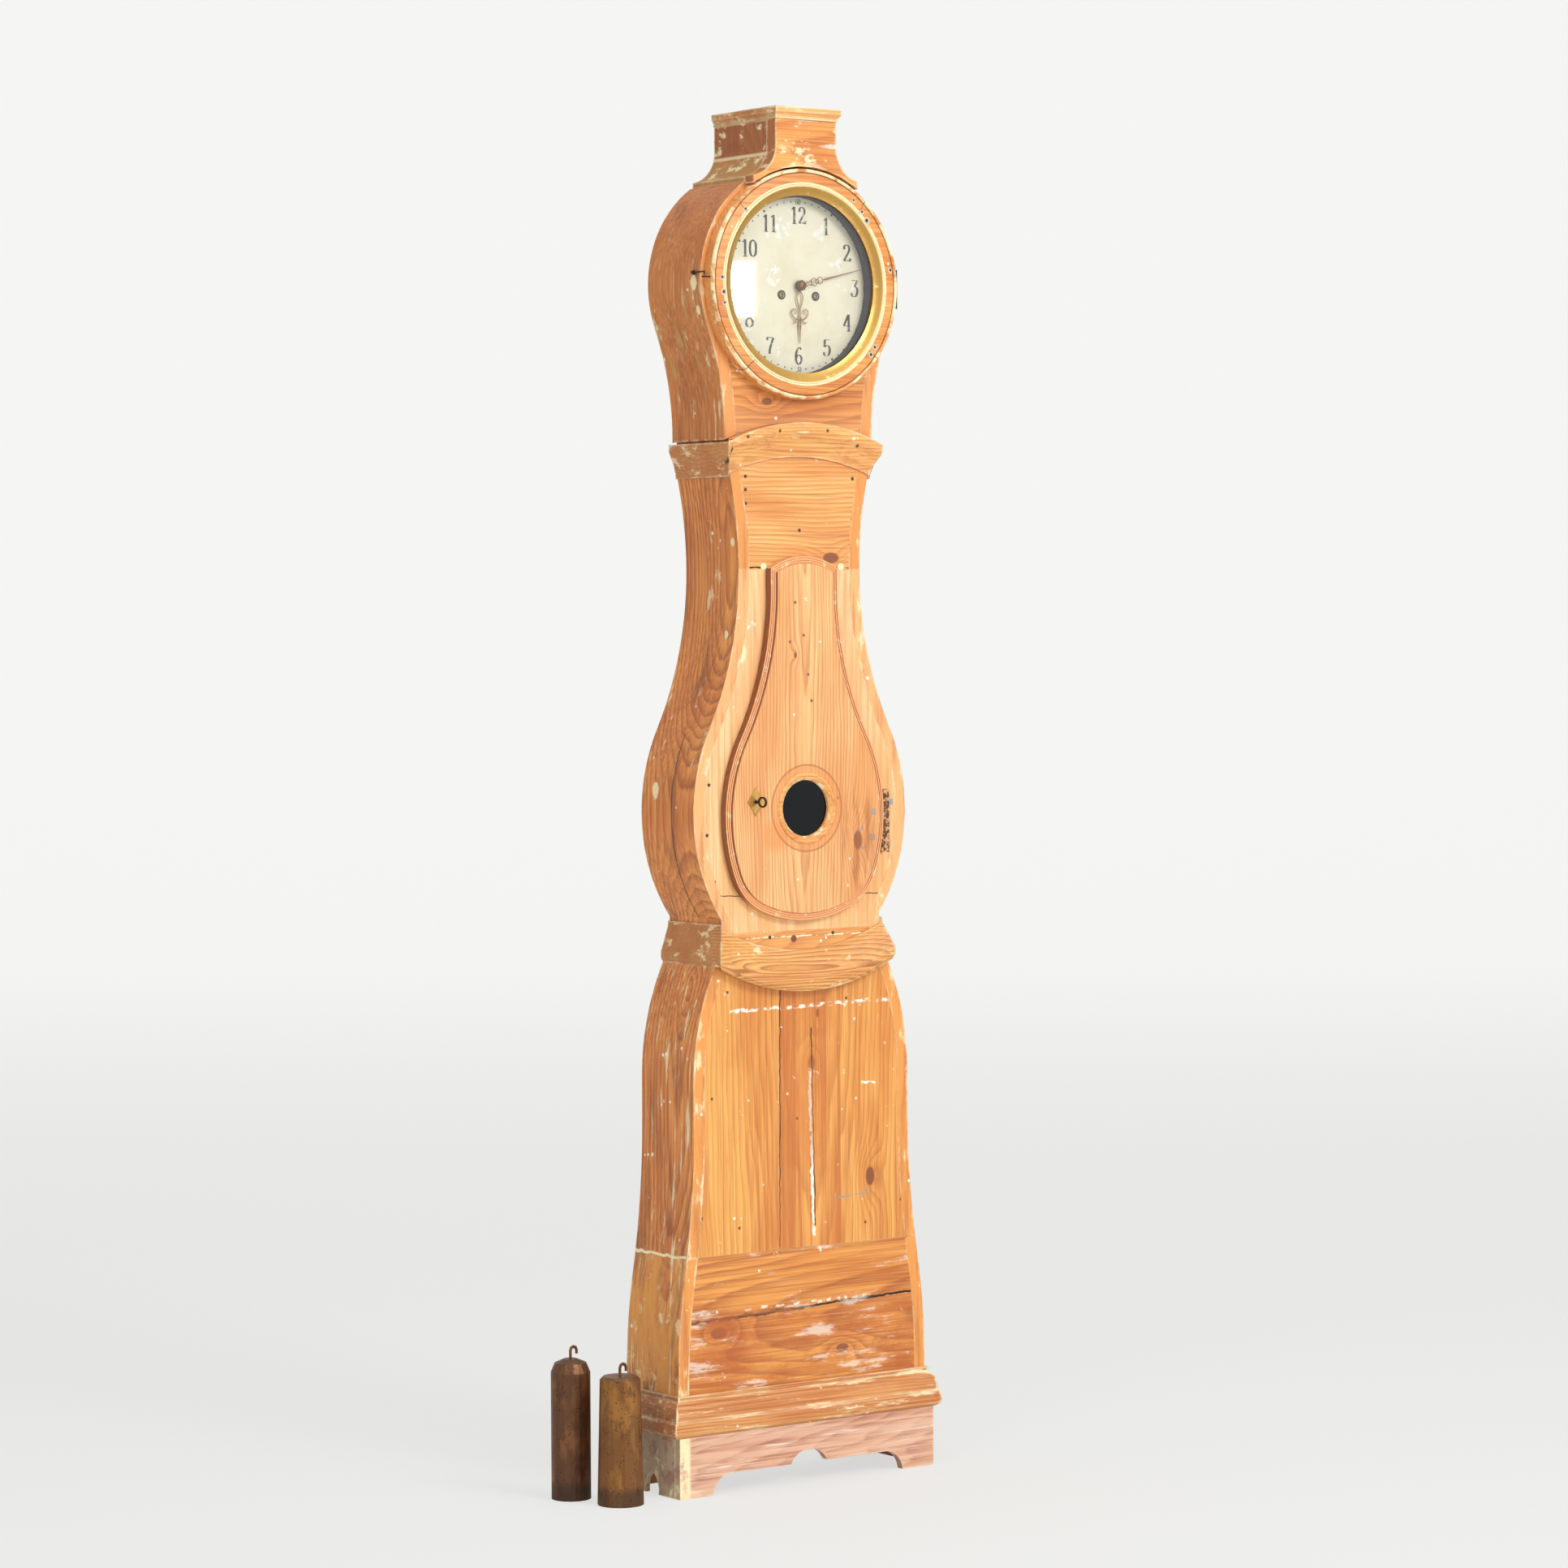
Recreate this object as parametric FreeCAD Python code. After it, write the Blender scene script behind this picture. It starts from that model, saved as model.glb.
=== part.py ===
import FreeCAD, Part
import math
import os

# A Swedish longcase clock in pine. Millimetres, X to the right, Y to the back, Z up.
# The back plane is Y = 0, the floor is Z = 0 and the clock's middle plane is X = 0.

# Main sizes
clock_height = 2100.0
case_depth = 138.0
crown_height = 114.0
head_radius = 182.5

# Levels from the crown down: the crown stands on the hood's round head, and the head on the trunk
crown_rise_share = 0.83507
head_stand_share = 1.32384
crown_base_z = clock_height - crown_height
head_z = crown_base_z - head_radius * crown_rise_share
trunk_top_z = head_z - head_radius * head_stand_share

# Levels of the case, as shares of the trunk's top
lower_crack_share = 0.16834
lower_seam_share = 0.22676
lower_slim_share = 0.35176
lower_shoulder_share = 0.39259
waist_share = 0.50251
trunk_belly_share = 0.64698
trunk_seam_share = 0.87940
trunk_neck_share = 0.97048
lower_crack_z = trunk_top_z * lower_crack_share
lower_seam_z = trunk_top_z * lower_seam_share
lower_slim_z = trunk_top_z * lower_slim_share
lower_shoulder_z = trunk_top_z * lower_shoulder_share
waist_z = trunk_top_z * waist_share
trunk_belly_z = trunk_top_z * trunk_belly_share
trunk_seam_z = trunk_top_z * trunk_seam_share
trunk_neck_z = trunk_top_z * trunk_neck_share
front_thick = 14.0
side_thick = 20.0
back_thick = 12.0
body_gap = 0.4
overrun = 10.0

# Lower case and plinth
lower_half_width = 235.0
lower_bottom_z = 56.0
lower_seam_x = -49.0
plinth_height = 92.0
plinth_front_thick = 13.0
plinth_side_thick = 7.0
plinth_arch_height = 31.0
plinth_arch_peak = 50.0
plinth_foot_width = 61.0
plinth_foot_curve = 36.0
plinth_peak_half_width = 34.0
plinth_side_foot_share = 0.413
plinth_side_foot = case_depth * plinth_side_foot_share
plinth_side_rear_foot_share = 0.442
plinth_side_rear_foot = case_depth * plinth_side_rear_foot_share
plinth_side_curve = 12.0
back_foot_width = 30.0
floor_board_z = 92.0
floor_board_thick = 14.0

# Outline of the lower case: where its curves begin and meet
lower_slim_half_width = 203.5
lower_curve_share = 0.42
lower_top_half_width = 163.0

# Mouldings: how far they stand out at the front and at the sides, and their heights
base_moulding_height = 62.0
lower_straight_gap = 14.0
lower_straight_z = plinth_height + base_moulding_height + lower_straight_gap
base_moulding_front = 19.4
base_moulding_side = 19.4
waist_moulding_height = 63.0
waist_moulding_front = 20.5
waist_moulding_side = 17.0
waist_moulding_drop = 44.0
waist_half_width = 150.0
neck_moulding_height = 52.0
neck_moulding_front = 20.5
neck_moulding_side = 15.0
neck_moulding_rise = 32.0
neck_half_width = 131.0

# Trunk
trunk_rail_height = 49.0
trunk_rail_top_z = waist_z + trunk_rail_height
trunk_foot_lift = 70.0
trunk_foot_z = waist_z + trunk_foot_lift
trunk_foot_half_width = 150.0
trunk_belly_half_width = 201.0
trunk_curve_share = 0.345
trunk_slim_half_width = 114.5
trunk_slim_z = trunk_seam_z

# Pear-shaped door over the trunk's opening
door_half_width = 150.5
door_bottom_lift = 15.0
door_bottom_z = trunk_rail_top_z + door_bottom_lift
door_shoulder_lift = 2.0
door_shoulder_z = trunk_seam_z + door_shoulder_lift
door_top_rise = 19.0
door_thick = 15.0
door_lap = 12.0
door_edge_width = 11.0
door_edge_drop = 2.5

# Outline of the door from its shoulder to its lowest point: height shares, width shares of its half width
door_outline_shares = (
    (1.0000, 0.4240),
    (0.9405, 0.4240),
    (0.5238, 0.7987),
    (0.2993, 1.0000),
    (0.1301, 0.8890),
    (0.0296, 0.5375),
    (0.0000, 0.0000),
)

# Round window in the door, with its ring
lens_lift = 6.0
lens_z = trunk_belly_z + lens_lift
lens_radius = 42.8
lens_ring_radius = 55.0
lens_ring_proud = 2.5

# Door hinge, lock and key
door_hinge_drop = 24.0
door_hinge_z = lens_z - door_hinge_drop
door_hinge_length = 98.0
door_hinge_radius = 2.2
door_hinge_pin_radius = 1.1
door_hinge_stand = 3.0
hinge_leaf_thick = 1.2
door_hinge_leaf = 17.0
pin_clearance = 0.05
knuckle_gap = 0.3
lock_x = -96.0
lock_lift = 12.0
lock_z = lens_z + lock_lift
lock_width = 58.0
lock_height = 56.0
lock_depth = 12.0
lock_wall = 2.0
lock_key_inset = 34.0
bolt_width = 8.0
bolt_thick = 4.0
bolt_length = 44.0
bolt_throw = 10.0
key_radius = 2.6
key_hole_radius = 3.4
key_bit_reach = 9.0
key_bit_thick = 2.4
key_bit_length = 5.0
key_stem_out = 7.0
key_bow_length = 21.0
key_bow_height = 17.0
key_bow_thick = 2.6
bow_sides = 14
escutcheon_width = 31.0
escutcheon_height = 44.0
escutcheon_thick = 1.2

# Hood with its round head
hood_foot_lip = 8.0
hood_foot_half_width = neck_half_width + hood_foot_lip
hood_foot_straight = 13.0
hood_side_thick = 20.0
hood_front_thick = 12.0
back_board_clearance = 0.5
back_seam_x = 40.0

# Crown and cap
crown_tip_share = 0.53699
crown_tip_half_width = head_radius * crown_tip_share
crown_tip_height = 8.0
crown_top_share = 0.31233
crown_top_half_width = head_radius * crown_top_share
crown_neck_share = 0.52
crown_belly_share = 0.17
crown_belly_width_share = 0.33
crown_front_proud = 22.0
crown_front_depth = case_depth + crown_front_proud
crown_front_thick = crown_front_proud
crown_side_thick = 14.0
crown_back_thick = 10.0
crown_gap = 3.0
cap_height = 18.0
cap_front = 8.5
cap_side = 5.0
cap_lip_share = 0.45
cap_cove_share = 0.75
cap_fillet_share = 0.35

# Bezel door: turned wooden ring, gilt cove ring and glass
bezel_margin = 7.3
bezel_width = 24.2
gilt_width = 16.2
hood_opening_gap = 0.2
bezel_radius = head_radius - bezel_margin
bezel_flat_radius = bezel_radius - bezel_width
bezel_sight_radius = bezel_flat_radius - gilt_width
hood_opening_radius = bezel_sight_radius + hood_opening_gap
bezel_thick = 21.6
bezel_bead = 9.0
bezel_bead_proud = 2.0
gilt_ring_depth = 8.0
glass_thick = 2.5
pane_sides = 16
bezel_hinge_length = 60.0
bezel_hinge_radius = 3.0
bezel_hinge_pin_radius = 1.5
bezel_hinge_leaf = 20.0
bezel_hinge_stand = 3.5

# Wire hook on the hood's left side, which holds the bezel door
hook_wire_radius = 1.3
wire_sides = 6
eye_turns = (0, 50, 100, 150, 200, 250, 300)
hook_lift = 12.4
hook_z = head_z + hook_lift
hook_length = 27.0
hook_tip = 5.0
hook_eye_radius = 3.2
hook_pivot_inset = 12.0
hook_pivot_y = hook_pivot_inset - case_depth
hook_stand = 3.4
staple_radius = 1.2
staple_depth = 8.0
staple_head = 3.0

# Dial and hands. The movement sits a little to the right of the case's middle plane.
movement_x = 10.0
movement_z = head_z
dial_lap = 11.2
dial_radius = bezel_sight_radius + dial_lap
dial_thick = 1.5
dial_hole_radius = 6.0
dial_gap = 0.8
winding_x = 32.3
winding_drop = 15.0
winding_hole_radius = 4.6
winding_bush_radius = 7.0
winding_bush_thick = 1.0
winding_square = 4.4
hand_thick = 1.2
hour_hand_gap = 3.0
minute_hand_gap = 3.2
hour_hand_share = 0.60274
hour_hand_length = dial_radius * hour_hand_share
minute_hand_inset = 26.0
minute_hand_length = dial_radius - minute_hand_inset
hour_hand_width = 21.0
hour_loop_share = 0.42
hour_scroll_share = 0.52
minute_hand_width = 14.0
minute_loop_share = 0.24
minute_scroll_share = 0.34
hand_hub_radius = 7.0
hub_cap_radius = 8.5
hub_cap_height = 5.0
hub_round_share = 0.75
spear_share = 0.22
swell_shares = ((0.2, 0.68), (0.5, 1.0), (0.8, 0.68))
dome_sides = 12
minute_angle = 76.0
hour_angle = 180.0

# Movement between two brass plates
plate_thick = 3.0
plate_half_width = 66.0
plate_top = 92.0
plate_bottom = 66.0
plate_setback = 30.0
front_plate_y = plate_setback - case_depth
plate_spacing_share = 0.32609
plate_spacing = case_depth * plate_spacing_share
pillar_radius = 4.5
pillar_inset = 8.0
pivot_radius = 1.0
arbor_radius = 2.2
end_shake = 0.3
pipe_wall = 1.1
seat_thick = 16.0
cheek_thick = 14.0
cheek_outer_x = 102.0
cheek_drop = 92.0
cheek_bottom_z = trunk_top_z - cheek_drop
seat_lip = 10.0
seat_front_y = front_plate_y - seat_lip
seat_tail = 9.0
seat_rear_y = front_plate_y + plate_spacing + seat_tail
seat_slot_length = 44.0
seat_slot_width = 26.0

# Wheel trains
great_teeth = 42
centre_pinion_teeth = 6
centre_teeth = 48
third_pinion_teeth = 6
third_teeth = 48
escape_pinion_teeth = 6
escape_teeth = 30
strike_teeth = 42
pin_pinion_teeth = 6
cannon_teeth = 10
minute_teeth = 30
minute_pinion_teeth = 8
hour_teeth = 32
wheel_thick = 2.2
pinion_length = 6.0
centre_wheel_module = 1.0
third_wheel_module = 0.82
motion_module = 1.35
escape_rise = 46.0
escape_radius = 18.5
escape_tooth_depth = 4.5
pin_wheel_radius = 13.0
pin_wheel_pins = 8
pin_wheel_pin_circle = 10.5
pin_radius = 1.0
pin_length = 5.5
barrel_radius = 22.0
barrel_length_share = 0.489
barrel_length = plate_spacing * barrel_length_share
minute_wheel_angle = 180.0
pin_wheel_angle = 100.0

# Tooth proportions, in modules and in shares of the pitch
tooth_tip = 0.95
tooth_root = 1.15
wheel_root = 1.6
leaf_tooth_share = 0.26
leaf_tip_share = 0.12

# Anchor and pendulum
anchor_span_teeth = 7.5
anchor_thick = 3.0
anchor_arm_width = 5.0
pallet_width_share = 0.24
pallet_dip = 0.6
crutch_length = 92.0
crutch_wire_radius = 1.4
crutch_fork_gap = 0.5
crutch_fork_length = 14.0
pendulum_gap = 18.0
pendulum_y = front_plate_y + plate_spacing + plate_thick + pendulum_gap
pendulum_rod_width = 5.2
pendulum_rod_thick = 3.0
bob_radius = 52.0
bob_z = lens_z
bob_face_share = 0.45
bob_sides = 24
bob_half_thick = 11.0
rating_nut_radius = 8.0
rating_nut_height = 10.0
rod_tail = 26.0
suspension_width = 8.0
suspension_thick = 0.6
suspension_length = 16.0
cock_width = 26.0
cock_height = 12.0
cock_slot = 2.6
suspension_pin_radius = 1.2

# Bells and hammers of the strike
bell_radius = 27.0
bell_wall = 2.0
bell_height = 16.0
bell_spacing = 90.0
bell_rise = 106.0
bell_post_radius = 2.5
bell_shoulder_share = 0.72
bell_sides = 12
bell_slot = 16.0
hammer_arbor_x = 50.0
hammer_arbor_rise = 56.0
hammer_rod_radius = 1.5
hammer_head_radius = 5.0
hammer_head_length = 14.0
hammer_gap = 1.5
hammer_tail_gap = 0.8

# Weights standing on the floor
round_weight_x = -361.0
round_weight_y = -34.5
round_weight_radius = 30.0
round_weight_height = 212.0
round_weight_shoulder = 20.0
cone_weight_x = -328.0
cone_weight_y = -118.5
cone_weight_radius = 35.0
cone_weight_top_radius = 30.5
cone_weight_height = 193.0
cone_weight_round = 5.0
weight_round_share = 0.3
weight_sides = 24
weight_hook_radius = 2.4
weight_hook_rise = 12.0
weight_hook_bend = 5.5

V = FreeCAD.Vector
X_AXIS = V(1, 0, 0)
Y_AXIS = V(0, 1, 0)
Z_AXIS = V(0, 0, 1)
straight_enough = 1e-9
rod_limits = (3.0, 12.0, 40.0, 60.0)
rod_sides = (6, 8, 16, 24)
ring_sides = 40
arch_lengths = 12
quarter_turns = (0, 30, 60, 90)


# Outlines and solids
def edges_through(start, steps):
    """Edges from start on: a point is a straight line, a pair (middle, end) is an arc."""
    edges = []
    here = start
    for step in steps:
        if isinstance(step, tuple):
            edges.append(Part.Arc(here, step[0], step[1]).toShape())
            here = step[1]
        else:
            edges.append(Part.LineSegment(here, step).toShape())
            here = step
    if not here.isEqual(start, 1e-6):
        edges.append(Part.LineSegment(here, start).toShape())
    return edges


def face_through(start, *steps):
    return Part.Face(Part.Wire(edges_through(start, steps)))


def at(x, z, y=0.0):
    return V(x, y, z)


def block(x0, x1, y0, y1, z0, z1):
    return Part.makeBox(x1 - x0, y1 - y0, z1 - z0, V(x0, y0, z0))


def sides_of(radius):
    """Thin rods are filed to few flats, and drums and rings to many."""
    return next((sides for limit, sides in zip(rod_limits, rod_sides) if radius < limit), ring_sides)


def ring_of_points(radius, sides, centre, along):
    """A closed polygon about a centre, square to a direction."""
    along = V(along).normalize()
    first = along.cross(X_AXIS if abs(along.x) < math.sqrt(0.5) else Z_AXIS).normalize()
    second = along.cross(first)
    turns = [2 * math.pi * (i + 0.5) / sides for i in range(sides + 1)]
    return Part.makePolygon([centre + first * (radius * math.cos(t)) + second * (radius * math.sin(t)) for t in turns])


def rod(radius, start, end):
    along = end - start
    return Part.Face(ring_of_points(radius, sides_of(radius), start, along)).extrude(along)


def room_for(radius):
    """Radius of a hole whose flats clear a rod of the same number of sides at any turn."""
    return (radius + pin_clearance) / math.cos(math.pi / sides_of(radius))


def disc(radius, thick, x, y, z):
    """A round plate that faces the front; y is its front face."""
    return rod(radius, V(x, y, z), V(x, y + thick, z))


def corners(polygon):
    return [edge.firstVertex().Point for edge in polygon.Edges]


def through_rings(rings, ends):
    """A solid whose flat faces join each ring of corners to the next, with the faces that close its ends."""
    faces = list(ends)
    for low, high in zip(rings, rings[1:]):
        for a, b, c, d in zip(low, low[1:] + low[:1], high[1:] + high[:1], high):
            faces.append(Part.Face(Part.makePolygon([a, b, c, d, a])))
    solid = Part.Solid(Part.Shell(faces))
    return clean(solid if solid.Volume > 0 else solid.reversed())


def stacked(radii, levels, sides, centre, axis):
    """A many-sided solid whose radius changes from level to level along an axis."""
    rings = [corners(ring_of_points(r, sides, centre + axis * level, axis)) for r, level in zip(radii, levels)]
    return through_rings(rings, [Part.Face(Part.makePolygon(ring + ring[:1])) for ring in (rings[0], rings[-1])])


def mirrored(shape):
    return shape.mirror(V(0, 0, 0), X_AXIS)


def both(shape):
    return [shape, mirrored(shape)]


def clean(shape):
    return shape.removeSplitter()


def turned(profile, x, z):
    """A many-sided ring about the line along Y through (x, z). The profile is in (x, y) from that line."""
    sides = sides_of(max(point.x for point in profile))
    rings = [corners(ring_of_points(point.x, sides, at(x, z, point.y), Y_AXIS)) for point in profile]
    return through_rings(rings + rings[:1], [])


def spun(points_and_steps, x, y):
    """A solid turned about the upright line through (x, y). The profile is in (x, z) from that line."""
    start = points_and_steps[0]
    face = face_through(start, *points_and_steps[1:])
    solid = face.revolve(V(0, 0, 0), Z_AXIS, 360)
    solid.translate(V(x, y, 0))
    return solid


def wire_along(radius, points):
    """Hammered wire through the points, with a mitre at each bend."""
    section = ring_of_points(radius, wire_sides, points[0], points[1] - points[0])
    return Part.makePolygon(points).makePipeShell([section], True, False, 1)


def bend_points(centre, start, other, angles):
    """Points round a centre: start and other are two arms at a right angle, the angles are in degrees."""
    return [centre + start * math.cos(math.radians(a)) + other * math.sin(math.radians(a)) for a in angles]


# Outlines of the case
def tangent_arcs(start, ahead, points):
    """Arcs through the points, each of which leaves smoothly where the one before it ends."""
    steps = []
    here = start
    for end in points:
        chord = end - here
        along = V(chord).normalize()
        aside = ahead - along * ahead.dot(along)
        if aside.Length > straight_enough:
            sag = chord.Length / 2 * math.tan(ahead.getAngle(chord) / 2)
            steps.append(((here + end) / 2 + aside.normalize() * sag, end))
        else:
            steps.append(end)
        ahead = along * (2 * ahead.dot(along)) - ahead
        here = end
    return steps


def leaving(start, end, ahead_at_end):
    """Direction in which an arc leaves its start if it reaches its end in the given direction."""
    along = (end - start).normalize()
    return along * (2 * ahead_at_end.dot(along)) - ahead_at_end


def between(start, end, share):
    return start + (end - start) * share


def flip(step):
    if isinstance(step, tuple):
        return tuple(flip(point) for point in step)
    return at(-step.x, step.z)


def ends_of(steps):
    return [step[1] if isinstance(step, tuple) else step for step in steps]


def run_back(start, steps):
    """The steps that lead from the last point back to the start along the same line."""
    ends = [start] + ends_of(steps)
    back = []
    for step, end in zip(reversed(steps), reversed(ends[:-1])):
        back.append((step[0], end) if isinstance(step, tuple) else end)
    return back


def mirrored_back(start, steps):
    """The steps of the left outline, from its top back to its foot."""
    return [flip(step) for step in run_back(start, steps)]


def lower_edge(inset):
    """The lower case's right edge from the straight foot to the waist."""
    foot = at(lower_half_width - inset, lower_straight_z)
    slim = at(lower_slim_half_width - inset, lower_slim_z)
    shoulder = at(lower_slim_half_width - inset, lower_shoulder_z)
    top = at(lower_top_half_width - inset, waist_z)
    meet = between(foot, slim, lower_curve_share)
    return foot, tangent_arcs(foot, Z_AXIS, [meet, slim]) + [shoulder] + tangent_arcs(shoulder, Z_AXIS, [top])


def trunk_edge(inset):
    """The trunk's right edge from the waist to the foot of the hood."""
    foot = at(trunk_foot_half_width - inset, waist_z)
    knee = at(trunk_foot_half_width - inset, trunk_foot_z)
    belly = at(trunk_belly_half_width - inset, trunk_belly_z)
    slim = at(trunk_slim_half_width - inset, trunk_slim_z)
    neck = at(neck_half_width - inset, trunk_neck_z)
    top = at(neck_half_width - inset, seat_height(neck_half_width - inset))
    meet = between(belly, slim, trunk_curve_share)
    curves = tangent_arcs(knee, leaving(knee, belly, Z_AXIS), [belly, meet, slim, neck])
    return foot, [knee] + curves + [top]


def lower_face(inset, bottom_z):
    """The lower case seen from the front, with its edges set in."""
    foot, steps = lower_edge(inset)
    left = mirrored_back(foot, steps)
    top = ends_of(steps)[-1]
    return face_through(at(-foot.x, bottom_z), at(foot.x, bottom_z), foot, *steps, flip(top), *left)


def trunk_face(inset):
    """The trunk seen from the front, with its edges set in and its top arched."""
    foot, steps = trunk_edge(inset)
    top = ends_of(steps)[-1]
    return face_through(foot, *steps, (at(0, seat_height(0)), flip(top)), *mirrored_back(foot, steps))


def board_face(outer, inner, low_outer, low_inner):
    """The bent edge of a side board, between its outer and its inner outline."""
    outer_foot, outer_steps = outer
    inner_foot, inner_steps = inner
    back = run_back(inner_foot, inner_steps)
    return face_through(low_inner, low_outer, outer_foot, *outer_steps, ends_of(inner_steps)[-1], *back)


def seat_radius():
    half = neck_half_width + neck_moulding_side
    return (half**2 + neck_moulding_rise**2) / (2 * neck_moulding_rise)


def seat_height(x):
    """Height of the arched top on which the hood stands."""
    radius = seat_radius()
    return trunk_top_z + neck_moulding_rise - radius + math.sqrt(radius**2 - x**2)


def below_seat(lift):
    """Everything under the arched line on which the hood stands, lifted a little."""
    half = neck_half_width + neck_moulding_side
    face = face_through(
        at(-half, 0),
        at(half, 0),
        at(half, trunk_top_z + lift),
        (at(0, trunk_top_z + neck_moulding_rise + lift), at(-half, trunk_top_z + lift)),
    )
    solid = face.extrude(V(0, 3 * case_depth, 0))
    solid.translate(V(0, -2 * case_depth, 0))
    return solid


def boards(face, y, thick):
    solid = face.extrude(V(0, thick, 0))
    solid.translate(V(0, y, 0))
    return solid


def band(shape, z0, z1):
    """The part of a shape between two heights."""
    reach = 2 * trunk_belly_half_width
    return shape.common(block(-reach, reach, -2 * case_depth, overrun, z0, z1))


# Mouldings
def corner_region(half, side, front, z0, z1):
    """Plan of the front moulding, bounded by the mitres at both corners, as a tall solid."""
    inner = -case_depth
    outer = -case_depth - front
    far = 2.0
    reach_x = half + side * far
    reach_y = inner - front * far
    face = face_through(V(-half, inner, z0), V(half, inner, z0), V(reach_x, reach_y, z0), V(-reach_x, reach_y, z0))
    return face.extrude(V(0, 0, z1 - z0))


def side_region(half, side, front, z0, z1):
    """Plan of the right side moulding, bounded by its mitre, as a tall solid."""
    inner = -case_depth
    far = 2.0
    reach_x = half + side * far
    reach_y = inner - front * far
    face = face_through(V(half, inner, z0), V(reach_x, reach_y, z0), V(reach_x, 0, z0), V(half, 0, z0))
    return face.extrude(V(0, 0, z1 - z0))


def placed_profile(profile, place):
    """A profile of (out, up) shares, set in space by place(out, up)."""
    points = [place(out, up) for out, up in profile]
    return points[0], points[1:]


def straight_moulding(profile, z, half, side, front, height):
    """Front and two side mouldings of one profile, mitred at the corners."""
    start, steps = placed_profile(profile, lambda out, up: V(-half - side, -case_depth - out * front, z + up * height))
    run = face_through(start, *steps).extrude(V(2 * (half + side), 0, 0))
    front_piece = run.common(corner_region(half, side, front, z - overrun, z + height + overrun))
    return [front_piece] + both(side_moulding(profile, z, half, side, front, height))


def side_moulding(profile, z, half, side, front, height):
    start, steps = placed_profile(profile, lambda out, up: V(half + out * side, -case_depth - front, z + up * height))
    run = face_through(start, *steps).extrude(V(0, case_depth + front, 0))
    return run.common(side_region(half, side, front, z - overrun, z + height + overrun))


def arched_moulding(profile, z, half, side, front, height, rise):
    """A front moulding planed in short straight lengths along an arch, between straight side mouldings."""
    reach = half + side
    radius = (reach**2 + rise**2) / (2 * rise)
    rings = []
    for i in range(arch_lengths + 1):
        turn = math.asin(reach / radius) * (2 * i / arch_lengths - 1)
        foot = z + rise - radius * (1 - math.cos(turn))
        rings.append([V(radius * math.sin(turn), -case_depth - out * front, foot + up * height) for out, up in profile])
    ends = [Part.Face(Part.makePolygon(ring + ring[:1])) for ring in (rings[0], rings[-1])]
    deep = z - abs(rise) - overrun
    high = z + height + abs(rise) + overrun
    front_piece = through_rings(rings, ends).common(corner_region(half, side, front, deep, high))
    return [front_piece] + both(side_moulding(profile, z, half, side, front, height))


base_profile_shares = (
    (0.0, 0.0),
    (0.62, 0.0),
    (0.94, 0.08),
    (1.0, 0.22),
    (0.92, 0.38),
    (0.76, 0.42),
    (0.76, 0.56),
    (0.62, 0.74),
    (0.34, 0.84),
    (0.20, 0.88),
    (0.20, 1.0),
    (0.0, 1.0),
)
waist_profile_shares = (
    (0.0, 0.0),
    (0.78, 0.0),
    (0.97, 0.11),
    (0.97, 0.27),
    (0.84, 0.36),
    (0.20, 0.86),
    (0.16, 1.0),
    (0.0, 1.0),
)
neck_profile_shares = (
    (0.0, 0.0),
    (0.14, 0.0),
    (0.18, 0.14),
    (0.44, 0.44),
    (0.84, 0.68),
    (0.98, 0.80),
    (1.0, 1.0),
    (0.0, 1.0),
)


def base_mouldings():
    return straight_moulding(
        base_profile_shares, plinth_height, lower_half_width, base_moulding_side, base_moulding_front, base_moulding_height
    )


def waist_mouldings():
    return arched_moulding(
        waist_profile_shares,
        waist_z,
        waist_half_width,
        waist_moulding_side,
        waist_moulding_front,
        waist_moulding_height,
        -waist_moulding_drop,
    )


def neck_mouldings():
    pieces = arched_moulding(
        neck_profile_shares,
        trunk_top_z - neck_moulding_height,
        neck_half_width,
        neck_moulding_side,
        neck_moulding_front,
        neck_moulding_height,
        neck_moulding_rise,
    )
    return [pieces[0]] + pieces[1:]


# Plinth
def plinth_front():
    half = lower_half_width + plinth_side_thick
    foot = half - plinth_foot_width
    inner = foot - plinth_foot_curve
    peak = plinth_peak_half_width
    bend = 0.3
    side = [
        at(foot, 0),
        (at(foot - plinth_foot_curve * bend, plinth_arch_height * (1 - bend)), at(inner, plinth_arch_height)),
        at(peak, plinth_arch_height),
        (at(peak * (1 - bend), plinth_arch_peak - (plinth_arch_peak - plinth_arch_height) * bend), at(0, plinth_arch_peak)),
    ]
    other = [
        (at(-peak * (1 - bend), plinth_arch_peak - (plinth_arch_peak - plinth_arch_height) * bend), at(-peak, plinth_arch_height)),
        at(-inner, plinth_arch_height),
        (at(-foot + plinth_foot_curve * bend, plinth_arch_height * (1 - bend)), at(-foot, 0)),
        at(-half, 0),
        at(-half, plinth_height),
    ]
    face = face_through(at(half, plinth_height), at(half, 0), *side, *other)
    return [boards(face, -case_depth - plinth_front_thick, plinth_front_thick)]


def plinth_sides():
    half = lower_half_width
    front = -case_depth
    near = front - plinth_front_thick + plinth_side_foot
    far = -plinth_side_rear_foot
    bend = 0.3
    curve = plinth_side_curve
    high = plinth_arch_height
    face = face_through(
        V(half, front, 0),
        V(half, near, 0),
        (V(half, near + curve * bend, high * (1 - bend)), V(half, near + curve, high)),
        V(half, far - curve, high),
        (V(half, far - curve * bend, high * (1 - bend)), V(half, far, 0)),
        V(half, 0, 0),
        V(half, 0, plinth_height),
        V(half, front, plinth_height),
    )
    return both(face.extrude(V(plinth_side_thick, 0, 0)))


# Lower case
def lower_front():
    return boards(lower_face(side_thick, lower_bottom_z), -case_depth, front_thick)


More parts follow.
